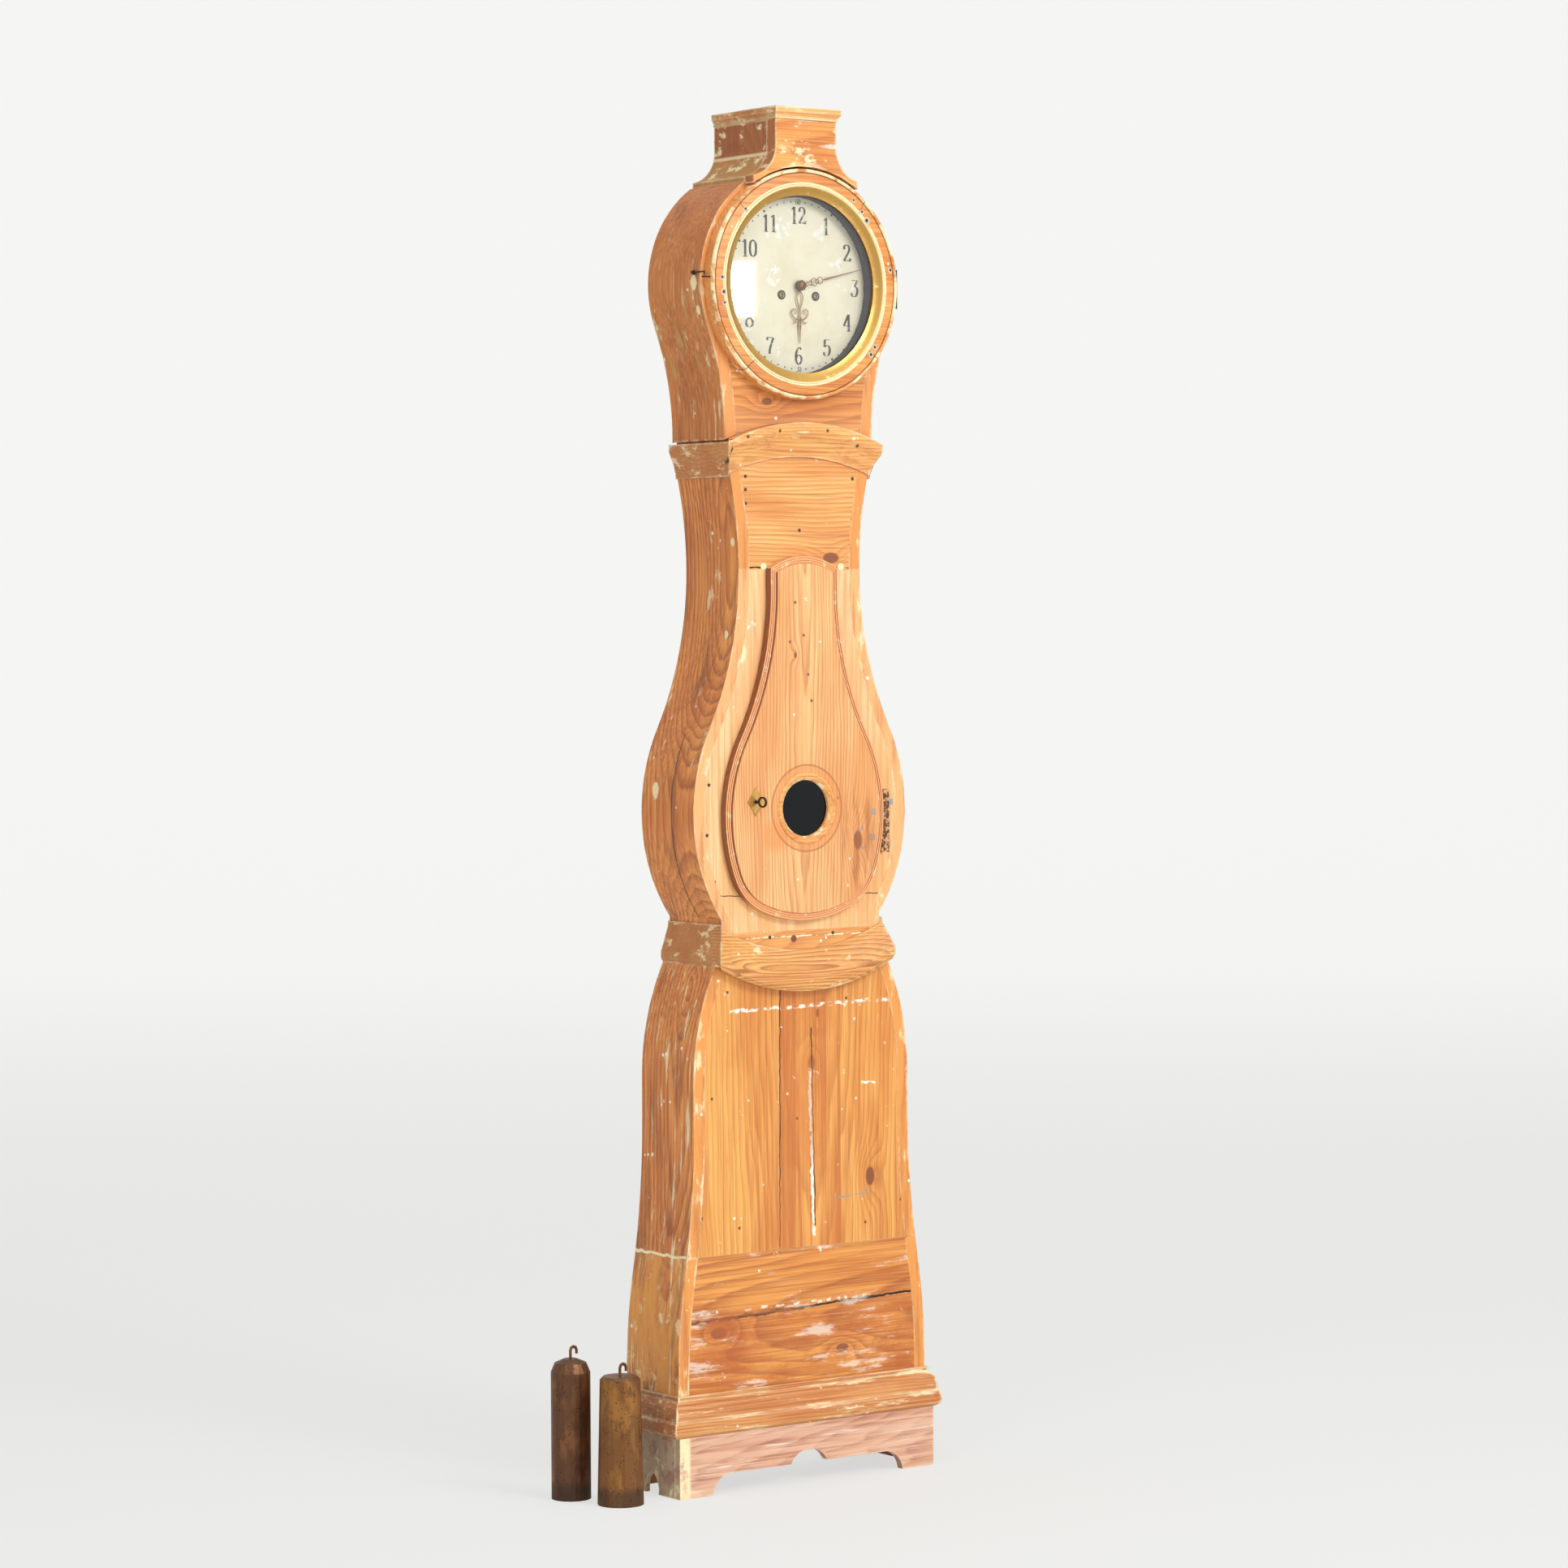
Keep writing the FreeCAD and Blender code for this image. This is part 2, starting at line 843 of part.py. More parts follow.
def lower_front_boards():
    upright = band(lower_front(), lower_seam_z, waist_z)
    reach = lower_half_width
    left = upright.common(block(-reach, lower_seam_x, -case_depth, 0, 0, waist_z))
    right = upright.common(block(lower_seam_x, reach, -case_depth, 0, 0, waist_z))
    return [left, right]


def lower_front_rails():
    level = lower_front()
    return [band(level, lower_bottom_z, lower_crack_z), band(level, lower_crack_z, lower_seam_z)]


def lower_side():
    """The right side board of the lower case, as bent on its outside as on its inside."""
    outer = lower_edge(0)
    inner = lower_edge(side_thick)
    face = board_face(outer, inner, at(outer[0].x, lower_bottom_z), at(inner[0].x, lower_bottom_z))
    whole = boards(face, -case_depth, case_depth)
    return [band(whole, lower_bottom_z, lower_seam_z), band(whole, lower_seam_z, waist_z)]


def lower_side_right():
    return lower_side()


def lower_side_left():
    return [mirrored(piece) for piece in lower_side()]


def floor_board():
    half = lower_half_width - side_thick
    return [block(-half, half, front_thick - case_depth, -back_thick, floor_board_z, floor_board_z + floor_board_thick)]


# Trunk
def door_edge():
    """The door's whole outline, from its right shoulder down, up the left side and back over the top."""
    height = door_shoulder_z - door_bottom_z
    points = [at(door_half_width * width, door_bottom_z + height * up) for up, width in door_outline_shares]
    shoulder = points[0]
    steps = tangent_arcs(shoulder, -Z_AXIS, points[1:])
    top = (at(0, door_shoulder_z + door_top_rise), shoulder)
    return shoulder, steps + mirrored_back(shoulder, steps) + [top]


def door_opening():
    """The opening behind the door, which is sawn in straight cuts and lies inside the door's lap."""
    start, steps = door_edge()
    points = [start]
    for step in steps:
        points.extend(step if isinstance(step, tuple) else [step])
    face = Part.Face(Part.makePolygon(points)).makeOffset2D(-door_lap)
    return boards(face, -case_depth - overrun, front_thick + 2 * overrun)


def trunk_front():
    return boards(trunk_face(side_thick), -case_depth, front_thick)


def trunk_front_board():
    board = band(trunk_front(), trunk_rail_top_z, trunk_seam_z).cut(door_opening())
    leaf = block(
        door_hinge_x(),
        door_hinge_x() + door_hinge_leaf,
        -case_depth - overrun,
        hinge_leaf_thick - case_depth,
        door_hinge_z - door_hinge_length / 2,
        door_hinge_z + door_hinge_length / 2,
    )
    return [board.cut(leaf).cut(bolt_mortise())]


def trunk_top_board():
    return [band(trunk_front(), trunk_seam_z, clock_height).cut(door_opening())]


def trunk_bottom_rail():
    return [band(trunk_front(), waist_z, trunk_rail_top_z)]


def trunk_side():
    outer = trunk_edge(0)
    inner = trunk_edge(side_thick)
    back = run_back(*inner)
    face = face_through(inner[0], outer[0], *outer[1], ends_of(inner[1])[-1], *back)
    return boards(face, -case_depth, case_depth)


def trunk_side_right():
    return [trunk_side()]


def trunk_side_left():
    return [mirrored(trunk_side())]


def back_boards():
    """Two boards from the floor to the crown, which carry the sides and close the hood at the back."""
    y = -back_thick
    foot_half = lower_half_width - side_thick
    foot_inner = foot_half - back_foot_width
    feet = face_through(at(foot_inner, 0), at(foot_half, 0), at(foot_half, lower_bottom_z), at(foot_inner, lower_bottom_z))
    whole = boards(lower_face(side_thick, lower_bottom_z), y, back_thick)
    whole = whole.fuse([boards(trunk_face(side_thick), y, back_thick), head_back()])
    whole = whole.fuse(both(boards(feet, y, back_thick)))
    whole = clean(whole)
    reach = lower_half_width
    left = whole.common(block(-reach, back_seam_x, y, 0, 0, clock_height))
    right = whole.common(block(back_seam_x, reach, y, 0, 0, clock_height))
    return [left, right]


# Hood
def flare_radius():
    """Radius of the hollow flare between the hood's foot and its round head."""
    drop = head_z - trunk_top_z - hood_foot_straight
    foot = hood_foot_half_width
    return (foot**2 + drop**2 - head_radius**2) / (2 * (head_radius - foot))


def hood_outline(inset):
    """The hood's right edge from its foot to the middle of its top: points for two arcs."""
    drop = head_z - trunk_top_z - hood_foot_straight
    flare = flare_radius() + inset
    radius = head_radius - inset
    centre_x = hood_foot_half_width + flare_radius()
    foot_z = trunk_top_z + hood_foot_straight
    apart = flare_radius() + head_radius
    meet_x = centre_x * radius / apart
    meet_z = head_z - drop * radius / apart
    turn = math.atan2(drop, centre_x) / 2
    middle = at(centre_x - flare * math.cos(turn), foot_z + flare * math.sin(turn))
    side = at(radius * math.cos(turn / 2), head_z + radius * math.sin(turn / 2))
    foot = at(hood_foot_half_width - inset, foot_z)
    return foot, middle, at(meet_x, meet_z), side, radius


def hood_face(inset, top_z):
    """The hood seen from the front, up to a level line across its head."""
    foot, middle, meet, side, radius = hood_outline(inset)
    half = math.sqrt(radius**2 - (top_z - head_z) ** 2)
    low = trunk_top_z - overrun
    return face_through(
        at(-foot.x, low),
        at(foot.x, low),
        foot,
        (middle, meet),
        (side, at(half, top_z)),
        at(-half, top_z),
        (at(-side.x, side.z), at(-meet.x, meet.z)),
        (at(-middle.x, middle.z), at(-foot.x, foot.z)),
    )


def hood_top_z():
    """Height at which the hood's sides meet the foot of the crown."""
    return head_z + math.sqrt(head_radius**2 - (crown_tip_half_width + crown_tip_height / 2) ** 2)


def hood_front():
    board = boards(hood_face(hood_side_thick, hood_top_z()), -case_depth, hood_front_thick)
    opening = disc(hood_opening_radius, hood_front_thick + 2 * overrun, 0, -case_depth - overrun, head_z)
    return [board.cut(opening).cut(below_seat(body_gap))]


def hood_side():
    whole = boards(hood_face(0.0, hood_top_z()), -case_depth, case_depth)
    inner = boards(hood_face(hood_side_thick, hood_top_z()), -case_depth - overrun, case_depth + 2 * overrun)
    reach = head_radius + overrun
    right = whole.cut(inner).common(block(0, reach, -case_depth, 0, 0, clock_height))
    return right.cut(below_seat(body_gap))


def hood_side_right():
    return [hood_side()]


def hood_side_left():
    wall = -hood_half_width_at(hook_z)
    hole = rod(staple_radius, V(wall - overrun, hook_pivot_y, hook_z), V(wall + staple_depth, hook_pivot_y, hook_z))
    return [mirrored(hood_side()).cut(hole)]


def head_back():
    """Upper end of the back boards, which fills the hood from inside with a little room."""
    inset = hood_side_thick + back_board_clearance
    face = hood_face(inset, hood_top_z() - crown_back_thick)
    lower = trunk_top_z
    solid = boards(face, -back_thick, back_thick)
    solid = solid.common(block(-head_radius, head_radius, -back_thick, 0, lower, clock_height))
    return solid.cut(below_seat(0))


# Crown
def crown_edge(inset):
    """The crown's hollow right edge from its tip to its top."""
    tip = crown_tip_half_width - inset
    top = crown_top_half_width - inset
    low = crown_base_z
    high = clock_height - cap_height
    rise = high - low - crown_tip_height
    foot = low + crown_tip_height
    neck = foot + rise * crown_neck_share
    belly = at(top + (tip - top) * crown_belly_width_share, foot + rise * crown_belly_share)
    return [at(tip, low), at(tip, foot), (belly, at(top, neck)), at(top, high)]


def crown_inside():
    """The right edge of the room inside the crown, which is sawn in straight cuts."""
    tip, foot, (belly, neck), top = crown_edge(crown_side_thick)
    return [tip, foot, belly, neck, top]


def crown_face(inset):
    right = crown_edge(inset)
    belly = right[2][0]
    return face_through(
        right[0],
        right[1],
        right[2],
        right[3],
        at(-right[3].x, right[3].z),
        at(-right[2][1].x, right[2][1].z),
        (at(-belly.x, belly.z), at(-right[1].x, right[1].z)),
        at(-right[0].x, right[0].z),
    )


def crown_front():
    low = head_z + bezel_radius / 2
    board = boards(crown_face(0.0), -crown_front_depth, crown_front_thick)
    skirt_half = crown_tip_half_width
    skirt = block(-skirt_half, skirt_half, -crown_front_depth, crown_front_thick - crown_front_depth, low, crown_base_z)
    room = disc(bezel_radius + crown_gap, 2 * crown_front_thick, 0, -crown_front_depth - overrun, head_z)
    tip = block(-skirt_half, skirt_half, -crown_front_depth, crown_front_thick - crown_front_depth, crown_base_z - crown_tip_height, crown_base_z)
    return [clean(board.fuse(skirt.common(tip))).cut(room)]


def crown_side():
    outer = crown_edge(0.0)
    inner = crown_inside()
    low = at(inner[0].x, hood_top_z())
    face = face_through(low, at(outer[0].x, hood_top_z()), *outer[1:], *reversed(inner[1:]))
    y = crown_front_thick - crown_front_depth
    return boards(face, y, -y)


def crown_boards():
    right = crown_inside()
    outline = face_through(right[0], *right[1:], *[flip(point) for point in reversed(right)])
    back = boards(outline, -crown_back_thick, crown_back_thick)
    back = back.common(block(-head_radius, head_radius, -crown_back_thick, 0, hood_top_z(), clock_height))
    return both(crown_side()) + [back]


def cap():
    """A moulded board: its side and front profiles are cut from one another, so that the corners are mitred."""
    low = clock_height - cap_height
    lip = clock_height - cap_height * cap_lip_share
    cove = low + cap_height * (1 - cap_cove_share)

    def edge(half, out):
        fillet = half + out * cap_fillet_share
        return (
            at(half, low),
            at(fillet, low),
            at(fillet, cove),
            (at(half + out * cap_cove_share, lip - (lip - cove) * cap_cove_share / 2), at(half + out, lip)),
            at(half + out, clock_height),
        )

    side = edge(crown_top_half_width, cap_side)
    left = [at(-side[4].x, side[4].z), at(-side[3][1].x, side[3][1].z)]
    left.append((at(-side[3][0].x, side[3][0].z), at(-side[2].x, side[2].z)))
    left += [at(-side[1].x, side[1].z), at(-side[0].x, side[0].z)]
    across = face_through(*side, *left).extrude(V(0, 2 * crown_front_depth, 0))
    across.translate(V(0, -2 * crown_front_depth, 0))
    ahead = edge(crown_front_depth, cap_front)
    steps = [V(0, -p.x, p.z) if not isinstance(p, tuple) else (V(0, -p[0].x, p[0].z), V(0, -p[1].x, p[1].z)) for p in ahead]
    along = face_through(*steps, V(0, 0, clock_height), V(0, 0, low)).extrude(V(2 * crown_front_depth, 0, 0))
    along.translate(V(-crown_front_depth, 0, 0))
    return [across.common(along)]


# Bezel door
def bezel_front_y():
    return -case_depth - body_gap - bezel_thick


def bezel_ring():
    """The turned ring: a bead outside and a flat round the gilt ring."""
    front = bezel_front_y()
    back = -case_depth - body_gap
    flat = front + bezel_bead_proud
    bead_in = bezel_radius - bezel_bead
    profile = [
        V(bezel_flat_radius, back, 0),
        V(bezel_radius, back, 0),
        V(bezel_radius, front, 0),
        V(bezel_radius - bezel_bead / 2, front, 0),
        V(bead_in, flat, 0),
        V(bezel_flat_radius, flat, 0),
    ]
    ring = turned(profile, 0, head_z)
    leaf_top = head_z + bezel_hinge_length / 2
    leaf = block(
        bezel_hinge_x() - bezel_hinge_leaf,
        bezel_hinge_x(),
        back - hinge_leaf_thick,
        back,
        head_z - bezel_hinge_length / 2,
        leaf_top,
    )
    return [ring.cut(leaf).cut(latch_eye_hole())]


def gilt_ring():
    """A gilt cove inside the bezel's flat, which holds the glass from the front."""
    flat = bezel_front_y() + bezel_bead_proud
    deep = flat + gilt_ring_depth
    profile = [
        V(bezel_sight_radius, deep, 0),
        V(bezel_flat_radius, deep, 0),
        V(bezel_flat_radius, flat, 0),
    ]
    return [turned(profile, 0, head_z)]


def pane(radius, y, z):
    """A glass pane nipped to many straight sides, which touch the round they lie in."""
    reach = radius * math.cos(math.pi / sides_of(radius))
    edge = ring_of_points(reach, pane_sides, at(0, z, y), Y_AXIS)
    return Part.Face(edge).extrude(V(0, glass_thick, 0))


def bezel_glass():
    return [pane(bezel_flat_radius, bezel_front_y() + bezel_bead_proud + gilt_ring_depth, head_z)]


# Hinges
def bezel_hinge_x():
    return head_radius + bezel_hinge_stand / 2


def bezel_hinge_y():
    return -case_depth - bezel_hinge_stand


def door_hinge_x():
    return door_half_width + door_hinge_stand


def door_hinge_y():
    return -case_depth - door_hinge_stand


def knuckles(radius, pin_radius, x, y, z, length, share_low, share_high):
    """A barrel between two shares of a hinge's length, bored for its pin."""
    low = z - length / 2 + length * share_low
    high = z - length / 2 + length * share_high
    barrel = rod(radius, V(x, y, low), V(x, y, high))
    return barrel.cut(rod(pin_radius, V(x, y, low - overrun), V(x, y, high + overrun)))


def hinge_parts(x, y, z, length, radius, pin_radius, fixed_leaf, moving_leaf):
    """The fixed leaf with its two outer knuckles and pin, and the moving leaf with its middle knuckle."""
    third = 1.0 / 3.0
    gap_share = knuckle_gap / length
    bore = room_for(pin_radius)
    outer = [
        knuckles(radius, pin_radius, x, y, z, length, 0.0, third),
        knuckles(radius, pin_radius, x, y, z, length, 1 - third, 1.0),
    ]
    low = z - length / 2
    cut_low = low + length * third
    cut_high = low + length * (1 - third)
    middle_room = block(
        x - 2 * radius, x + 2 * radius, y - 2 * radius, y + 2 * radius, cut_low - knuckle_gap, cut_high + knuckle_gap
    )
    fixed = fixed_leaf.cut(middle_room).cut(rod(radius, V(x, y, low), V(x, y, low + length)))
    fixed = fixed.fuse(outer).fuse(rod(pin_radius, V(x, y, low), V(x, y, low + length)))
    middle = knuckles(radius, bore, x, y, z, length, third + gap_share, 1 - third - gap_share)
    strip = block(
        x - 10 * radius - door_hinge_leaf,
        x + 10 * radius,
        y - 2 * radius,
        y + 2 * radius,
        cut_low + knuckle_gap,
        cut_high - knuckle_gap,
    )
    clear = block(
        x - radius - knuckle_gap, x + radius + knuckle_gap, y - 2 * radius, y + 2 * radius, low - overrun, low + length + overrun
    )
    moving = moving_leaf.cut(clear).fuse(moving_leaf.common(strip).cut(rod(radius, V(x, y, low), V(x, y, low + length))))
    moving = moving.fuse(middle)
    return [clean(fixed)], [clean(moving)]


def bezel_hinge():
    x = bezel_hinge_x()
    y = bezel_hinge_y()
    low = head_z - bezel_hinge_length / 2
    high = head_z + bezel_hinge_length / 2
    back = -case_depth - body_gap
    side = hood_outline(0.0)[4]
    fixed = block(side, side + hinge_leaf_thick, y, -case_depth + bezel_hinge_leaf, low, high)
    moving = block(x - bezel_hinge_leaf, x, back - hinge_leaf_thick, back, low, high)
    return hinge_parts(x, y, head_z, bezel_hinge_length, bezel_hinge_radius, bezel_hinge_pin_radius, fixed, moving)


def bezel_hinge_leaves():
    return bezel_hinge()[0]


def bezel_hinge_straps():
    return bezel_hinge()[1]


def door_hinge():
    x = door_hinge_x()
    y = door_hinge_y()
    low = door_hinge_z - door_hinge_length / 2
    high = door_hinge_z + door_hinge_length / 2
    back = -case_depth - body_gap
    fixed = block(x, x + door_hinge_leaf, -case_depth, hinge_leaf_thick - case_depth, low, high)
    neck = block(x, x + door_hinge_radius + hinge_leaf_thick, y, hinge_leaf_thick - case_depth, low, high)
    moving = block(x - door_hinge_leaf, x, back - hinge_leaf_thick, back, low, high)
    parts = hinge_parts(
        x, y, door_hinge_z, door_hinge_length, door_hinge_radius, door_hinge_pin_radius, fixed.fuse(neck), moving
    )
    return parts


def door_hinge_leaves():
    return door_hinge()[0]


def door_hinge_straps():
    return door_hinge()[1]


# Trunk door
def door_back_y():
    return -case_depth - body_gap


def door_panel():
    back = door_back_y()
    front = back - door_thick
    start, steps = door_edge()
    face = face_through(start, *steps)
    edge_height = door_thick - door_edge_drop
    panel = boards(face, back - edge_height, edge_height).fuse(boards(face.makeOffset2D(-door_edge_width), front, door_thick))
    hole = disc(lens_ring_radius, door_thick + 2 * overrun, 0, front - overrun, lens_z)
    key_hole = disc(key_hole_radius, door_thick + 2 * overrun, lock_x, front - overrun, lock_z)
    low = door_hinge_z - door_hinge_length / 2
    x = door_hinge_x()
    leaf = block(x - door_hinge_leaf, x, back - hinge_leaf_thick, back, low, low + door_hinge_length)
    barrel = rod(
        door_hinge_radius + body_gap, V(x, door_hinge_y(), low - body_gap), V(x, door_hinge_y(), low + door_hinge_length + body_gap)
    )
    for tool in (hole, key_hole, leaf, barrel):
        panel = panel.cut(tool)
    return [panel]


def lens_ring():
    """The turned ring let into the door round its window, in front of the glass."""
    proud = door_back_y() - door_thick - lens_ring_proud
    profile = [
        V(lens_radius, lens_back_y(), 0),
        V(lens_radius, proud, 0),
        V(lens_ring_radius, proud, 0),
        V(lens_ring_radius, lens_back_y(), 0),
    ]
    return [turned(profile, 0, lens_z)]


def lens_glass():
    return [pane(lens_ring_radius, lens_back_y(), lens_z)]


def lens_back_y():
    return door_back_y() - door_thick / 2


def escutcheon():
    front = door_back_y() - door_thick
    half = escutcheon_width / 2
    high = escutcheon_height / 2
    plate = face_through(
        at(lock_x - half, lock_z), at(lock_x, lock_z - high), at(lock_x + half, lock_z), at(lock_x, lock_z + high)
    )
    solid = boards(plate, front - escutcheon_thick, escutcheon_thick)
    return [solid.cut(disc(key_hole_radius, overrun, lock_x, front - overrun / 2, lock_z))]


def bolt_z():
    return lock_z + key_bit_reach + body_gap


def bolt_tip_x():
    """The bolt's tip when it is drawn back, flush with the edge of the lock."""
    return lock_x - lock_key_inset


def bolt_y():
    return door_back_y() + lock_depth / 2 - bolt_thick / 2


def bolt_mortise():
    room = 2 * body_gap
    return block(
        bolt_tip_x() - bolt_throw - room,
        bolt_tip_x(),
        bolt_y() - room,
        bolt_y() + bolt_thick + room,
        bolt_z() - room,
        bolt_z() + bolt_width + room,
    )


def lock_case():
    """An iron box lock on the door's back, open towards the trunk, with a slot for its bolt."""
    back = door_back_y()
    left = lock_x - lock_key_inset
    low = lock_z - lock_height / 2
    outer = block(left, left + lock_width, back, back + lock_depth, low, low + lock_height)
    inner = block(
        left + lock_wall,
        left + lock_width - lock_wall,
        back + lock_wall,
        back + lock_depth + overrun,
        low + lock_wall,
        low + lock_height - lock_wall,
    )
    slot = block(
        left - overrun,
        left + lock_width / 2,
        bolt_y() - body_gap,
        bolt_y() + bolt_thick + body_gap,
        bolt_z() - body_gap,
        bolt_z() + bolt_width + body_gap,
    )
    key = disc(key_hole_radius, 4 * lock_wall, lock_x, back - lock_wall, lock_z)
    guide_y = bolt_y() + bolt_thick + body_gap
    guide = block(
        lock_x + lock_wall,
        lock_x + 3 * lock_wall,
        guide_y,
        guide_y + lock_wall,
        bolt_z() - body_gap,
        low + lock_height - lock_wall,
    )
    return [outer.cut(inner).cut(slot).cut(key).fuse(guide)]


def lock_bolt():
    x = bolt_tip_x()
    return [block(x, x + bolt_length, bolt_y(), bolt_y() + bolt_thick, bolt_z(), bolt_z() + bolt_width)]


def key():
    """A key with an oval bow that stands upright when the bolt is drawn back."""
    back = door_back_y()
    front = back - door_thick - escutcheon_thick
    stem_end = back + lock_depth - lock_wall
    stem_start = front - key_stem_out
    stem = rod(key_radius, V(lock_x, stem_start, lock_z), V(lock_x, stem_end, lock_z))
    bit = block(
        lock_x,
        lock_x + key_bit_reach,
        stem_end - key_bit_length,
        stem_end,
        lock_z - key_bit_thick / 2,
        lock_z + key_bit_thick / 2,
    )
    centre = stem_start - key_bow_length / 2 + key_radius / 2
    bow = oval(key_bow_length / 2, key_bow_height / 2, key_bow_thick)
    bow = bow.cut(oval(key_bow_length / 2 - key_bow_thick, key_bow_height / 2 - key_bow_thick, key_bow_thick))
    bow.translate(V(lock_x, centre, lock_z))
    return [clean(stem.fuse([bit, bow]))]


def oval(half_length, half_height, thick):
    """An upright oval plate in the plane of Y and Z, about the origin."""
    turns = [2 * math.pi * i / bow_sides for i in range(bow_sides + 1)]
    edge = Part.makePolygon([V(-thick / 2, half_length * math.cos(t), half_height * math.sin(t)) for t in turns])
    return Part.Face(edge).extrude(V(thick, 0, 0))


# Hook and staples of the bezel door
def hook_x():
    return -hood_half_width_at(hook_z) - hook_stand


def hood_half_width_at(z):
    return math.sqrt(head_radius**2 - (z - head_z) ** 2)


def hook_latch():
    """Wire with an eye round its staple, a straight shank, and a tip that turns down."""
    x = hook_x()
    r = hook_wire_radius
    turn = room_for(staple_radius) + r
    centre = V(x, hook_pivot_y, hook_z)
    eye = bend_points(centre, V(0, -turn, 0), V(0, 0, -turn), eye_turns)
    corner = V(x, hook_pivot_y - hook_length, hook_z)
    return [wire_along(r, [corner - V(0, 0, hook_tip), corner] + eye)]


def latch_staple():
    """The pin in the hood's side on which the hook turns, with a small head."""
    x = hook_x()
    wall = -hood_half_width_at(hook_z)
    head_x = x - 2 * hook_wire_radius
    pin = rod(staple_radius, V(wall + staple_depth, hook_pivot_y, hook_z), V(head_x, hook_pivot_y, hook_z))
    head = rod(staple_head, V(head_x, hook_pivot_y, hook_z), V(head_x - staple_radius, hook_pivot_y, hook_z))
    return [pin.fuse(head)]


def latch_eye():
    """A wire eye in the bezel's edge, which takes the hook's tip from above."""
    ring_z = hook_z - hook_tip - 2 * hook_wire_radius
    y = hook_pivot_y - hook_length
    x = hook_x()
    edge = -math.sqrt(bezel_radius**2 - (ring_z - head_z) ** 2)
    ring = bend_points(V(x, y, ring_z), V(hook_eye_radius, 0, 0), V(0, hook_eye_radius, 0), eye_turns)
    return [wire_along(staple_radius, [V(edge + staple_depth, y, ring_z)] + ring)]


def latch_eye_hole():
    """The hole in the bezel's edge for the shank of the eye."""
    ring_z = hook_z - hook_tip - 2 * hook_wire_radius
    y = hook_pivot_y - hook_length
    edge = -math.sqrt(bezel_radius**2 - (ring_z - head_z) ** 2)
    return rod(room_for(staple_radius), V(edge - overrun, y, ring_z), V(edge + staple_depth, y, ring_z))


# Dial and hands
def dial_front_y():
    return -case_depth + hood_front_thick + dial_gap


def hour_hand_y():
    return dial_front_y() - hour_hand_gap - hand_thick


def minute_hand_y():
    return hour_hand_y() - minute_hand_gap - hand_thick


def winding_places():
    return [(movement_x - winding_x, movement_z - winding_drop), (movement_x + winding_x, movement_z - winding_drop)]


def dial():
    """A painted iron disc with a hole for the hands and two bushed winding holes, and its feet."""
    y = dial_front_y()
    plate = disc(dial_radius, dial_thick, movement_x, y, movement_z)
    plate = plate.cut(disc(dial_hole_radius, 3 * dial_thick, movement_x, y - dial_thick, movement_z))
    for x, z in winding_places():
        plate = plate.fuse(disc(winding_bush_radius, winding_bush_thick, x, y - winding_bush_thick, z))
    for x, z in winding_places():
        plate = plate.cut(disc(winding_hole_radius, 3 * dial_thick, x, y - dial_thick, z))
    half = pillar_radius / 2
    feet = [
        block(x - half, x + half, y + dial_thick / 2, front_plate_y, z - half, z + half)
        for x in (movement_x - plate_half_width + pillar_inset, movement_x + plate_half_width - pillar_inset)
        for z in (movement_z + plate_top - pillar_inset, movement_z - plate_bottom + pillar_inset)
    ]
    return [plate.fuse(feet)]


def swelling(x, z0, z1, out):
    """Points up a bulging side, from height to height."""
    return [at(x + out * share, between(at(0, z0), at(0, z1), up).z) for up, share in swell_shares]


def there_and_back(points):
    """A closed face between points on the right and the same points on the left."""
    left = [flip(point) for point in reversed(points) if point.x > 0]
    return face_through(*points, *left)


def hand_outline(length, width, loop_share, scroll_share):
    """A clock hand that points up: a stem that swells round its loop, and a long spear."""
    stem = width / 4
    low = hand_hub_radius - stem
    neck = length * scroll_share
    spear = length * spear_share
    points = [at(stem, low)]
    points += swelling(stem, low, length * loop_share, width / 2 - stem)
    points += [at(stem, length * loop_share), at(stem, neck)]
    points += swelling(stem, neck, neck + spear, width / 6)
    points += [at(stem / 2, neck + spear), at(stem / 4, length)]
    return there_and_back(points)


def scroll(x, z, radius, wire):
    return disc(radius, hand_thick, x, 0, z).cut(disc(radius - wire, hand_thick, x, 0, z))


def hand(length, width, loop_share, scroll_share, bore, y, angle, paired):
    """Cuts a hand from sheet, pierces its loop, adds its scrolls and turns it to its hour."""
    wire = width / 7
    body = boards(hand_outline(length, width, loop_share, scroll_share), 0, hand_thick)
    low = hand_hub_radius + 2 * wire
    high = length * loop_share - 2 * wire
    hole = there_and_back([at(0, low)] + swelling(0, low, high, width / 2 - wire) + [at(0, high)])
    body = body.cut(boards(hole, -hand_thick, 3 * hand_thick))
    radius = width * 0.38
    places = [(side * (radius + wire / 2), length * scroll_share) for side in (-1, 1)] if paired else []
    if not paired:
        places = [(side * radius / 2, length * (scroll_share + step)) for side, step in ((1, -0.04), (-1, 0.07))]
    for x, z in places:
        body = body.fuse(scroll(x, z, radius, wire))
    body = body.fuse(disc(hand_hub_radius, hand_thick, 0, 0, 0))
    body = clean(body).cut(disc(bore, 3 * hand_thick, 0, -hand_thick, 0))
    body.rotate(V(0, 0, 0), Y_AXIS, angle)
    body.translate(V(movement_x, y, movement_z))
    return body


def hour_pipe_radius():
    return room_for(cannon_pipe_radius()) + pipe_wall


def cannon_pipe_radius():
    return arbor_radius + pipe_wall


def hour_hand():
    return [hand(hour_hand_length, hour_hand_width, hour_loop_share, hour_scroll_share, room_for(hour_pipe_radius()), hour_hand_y(), hour_angle, True)]


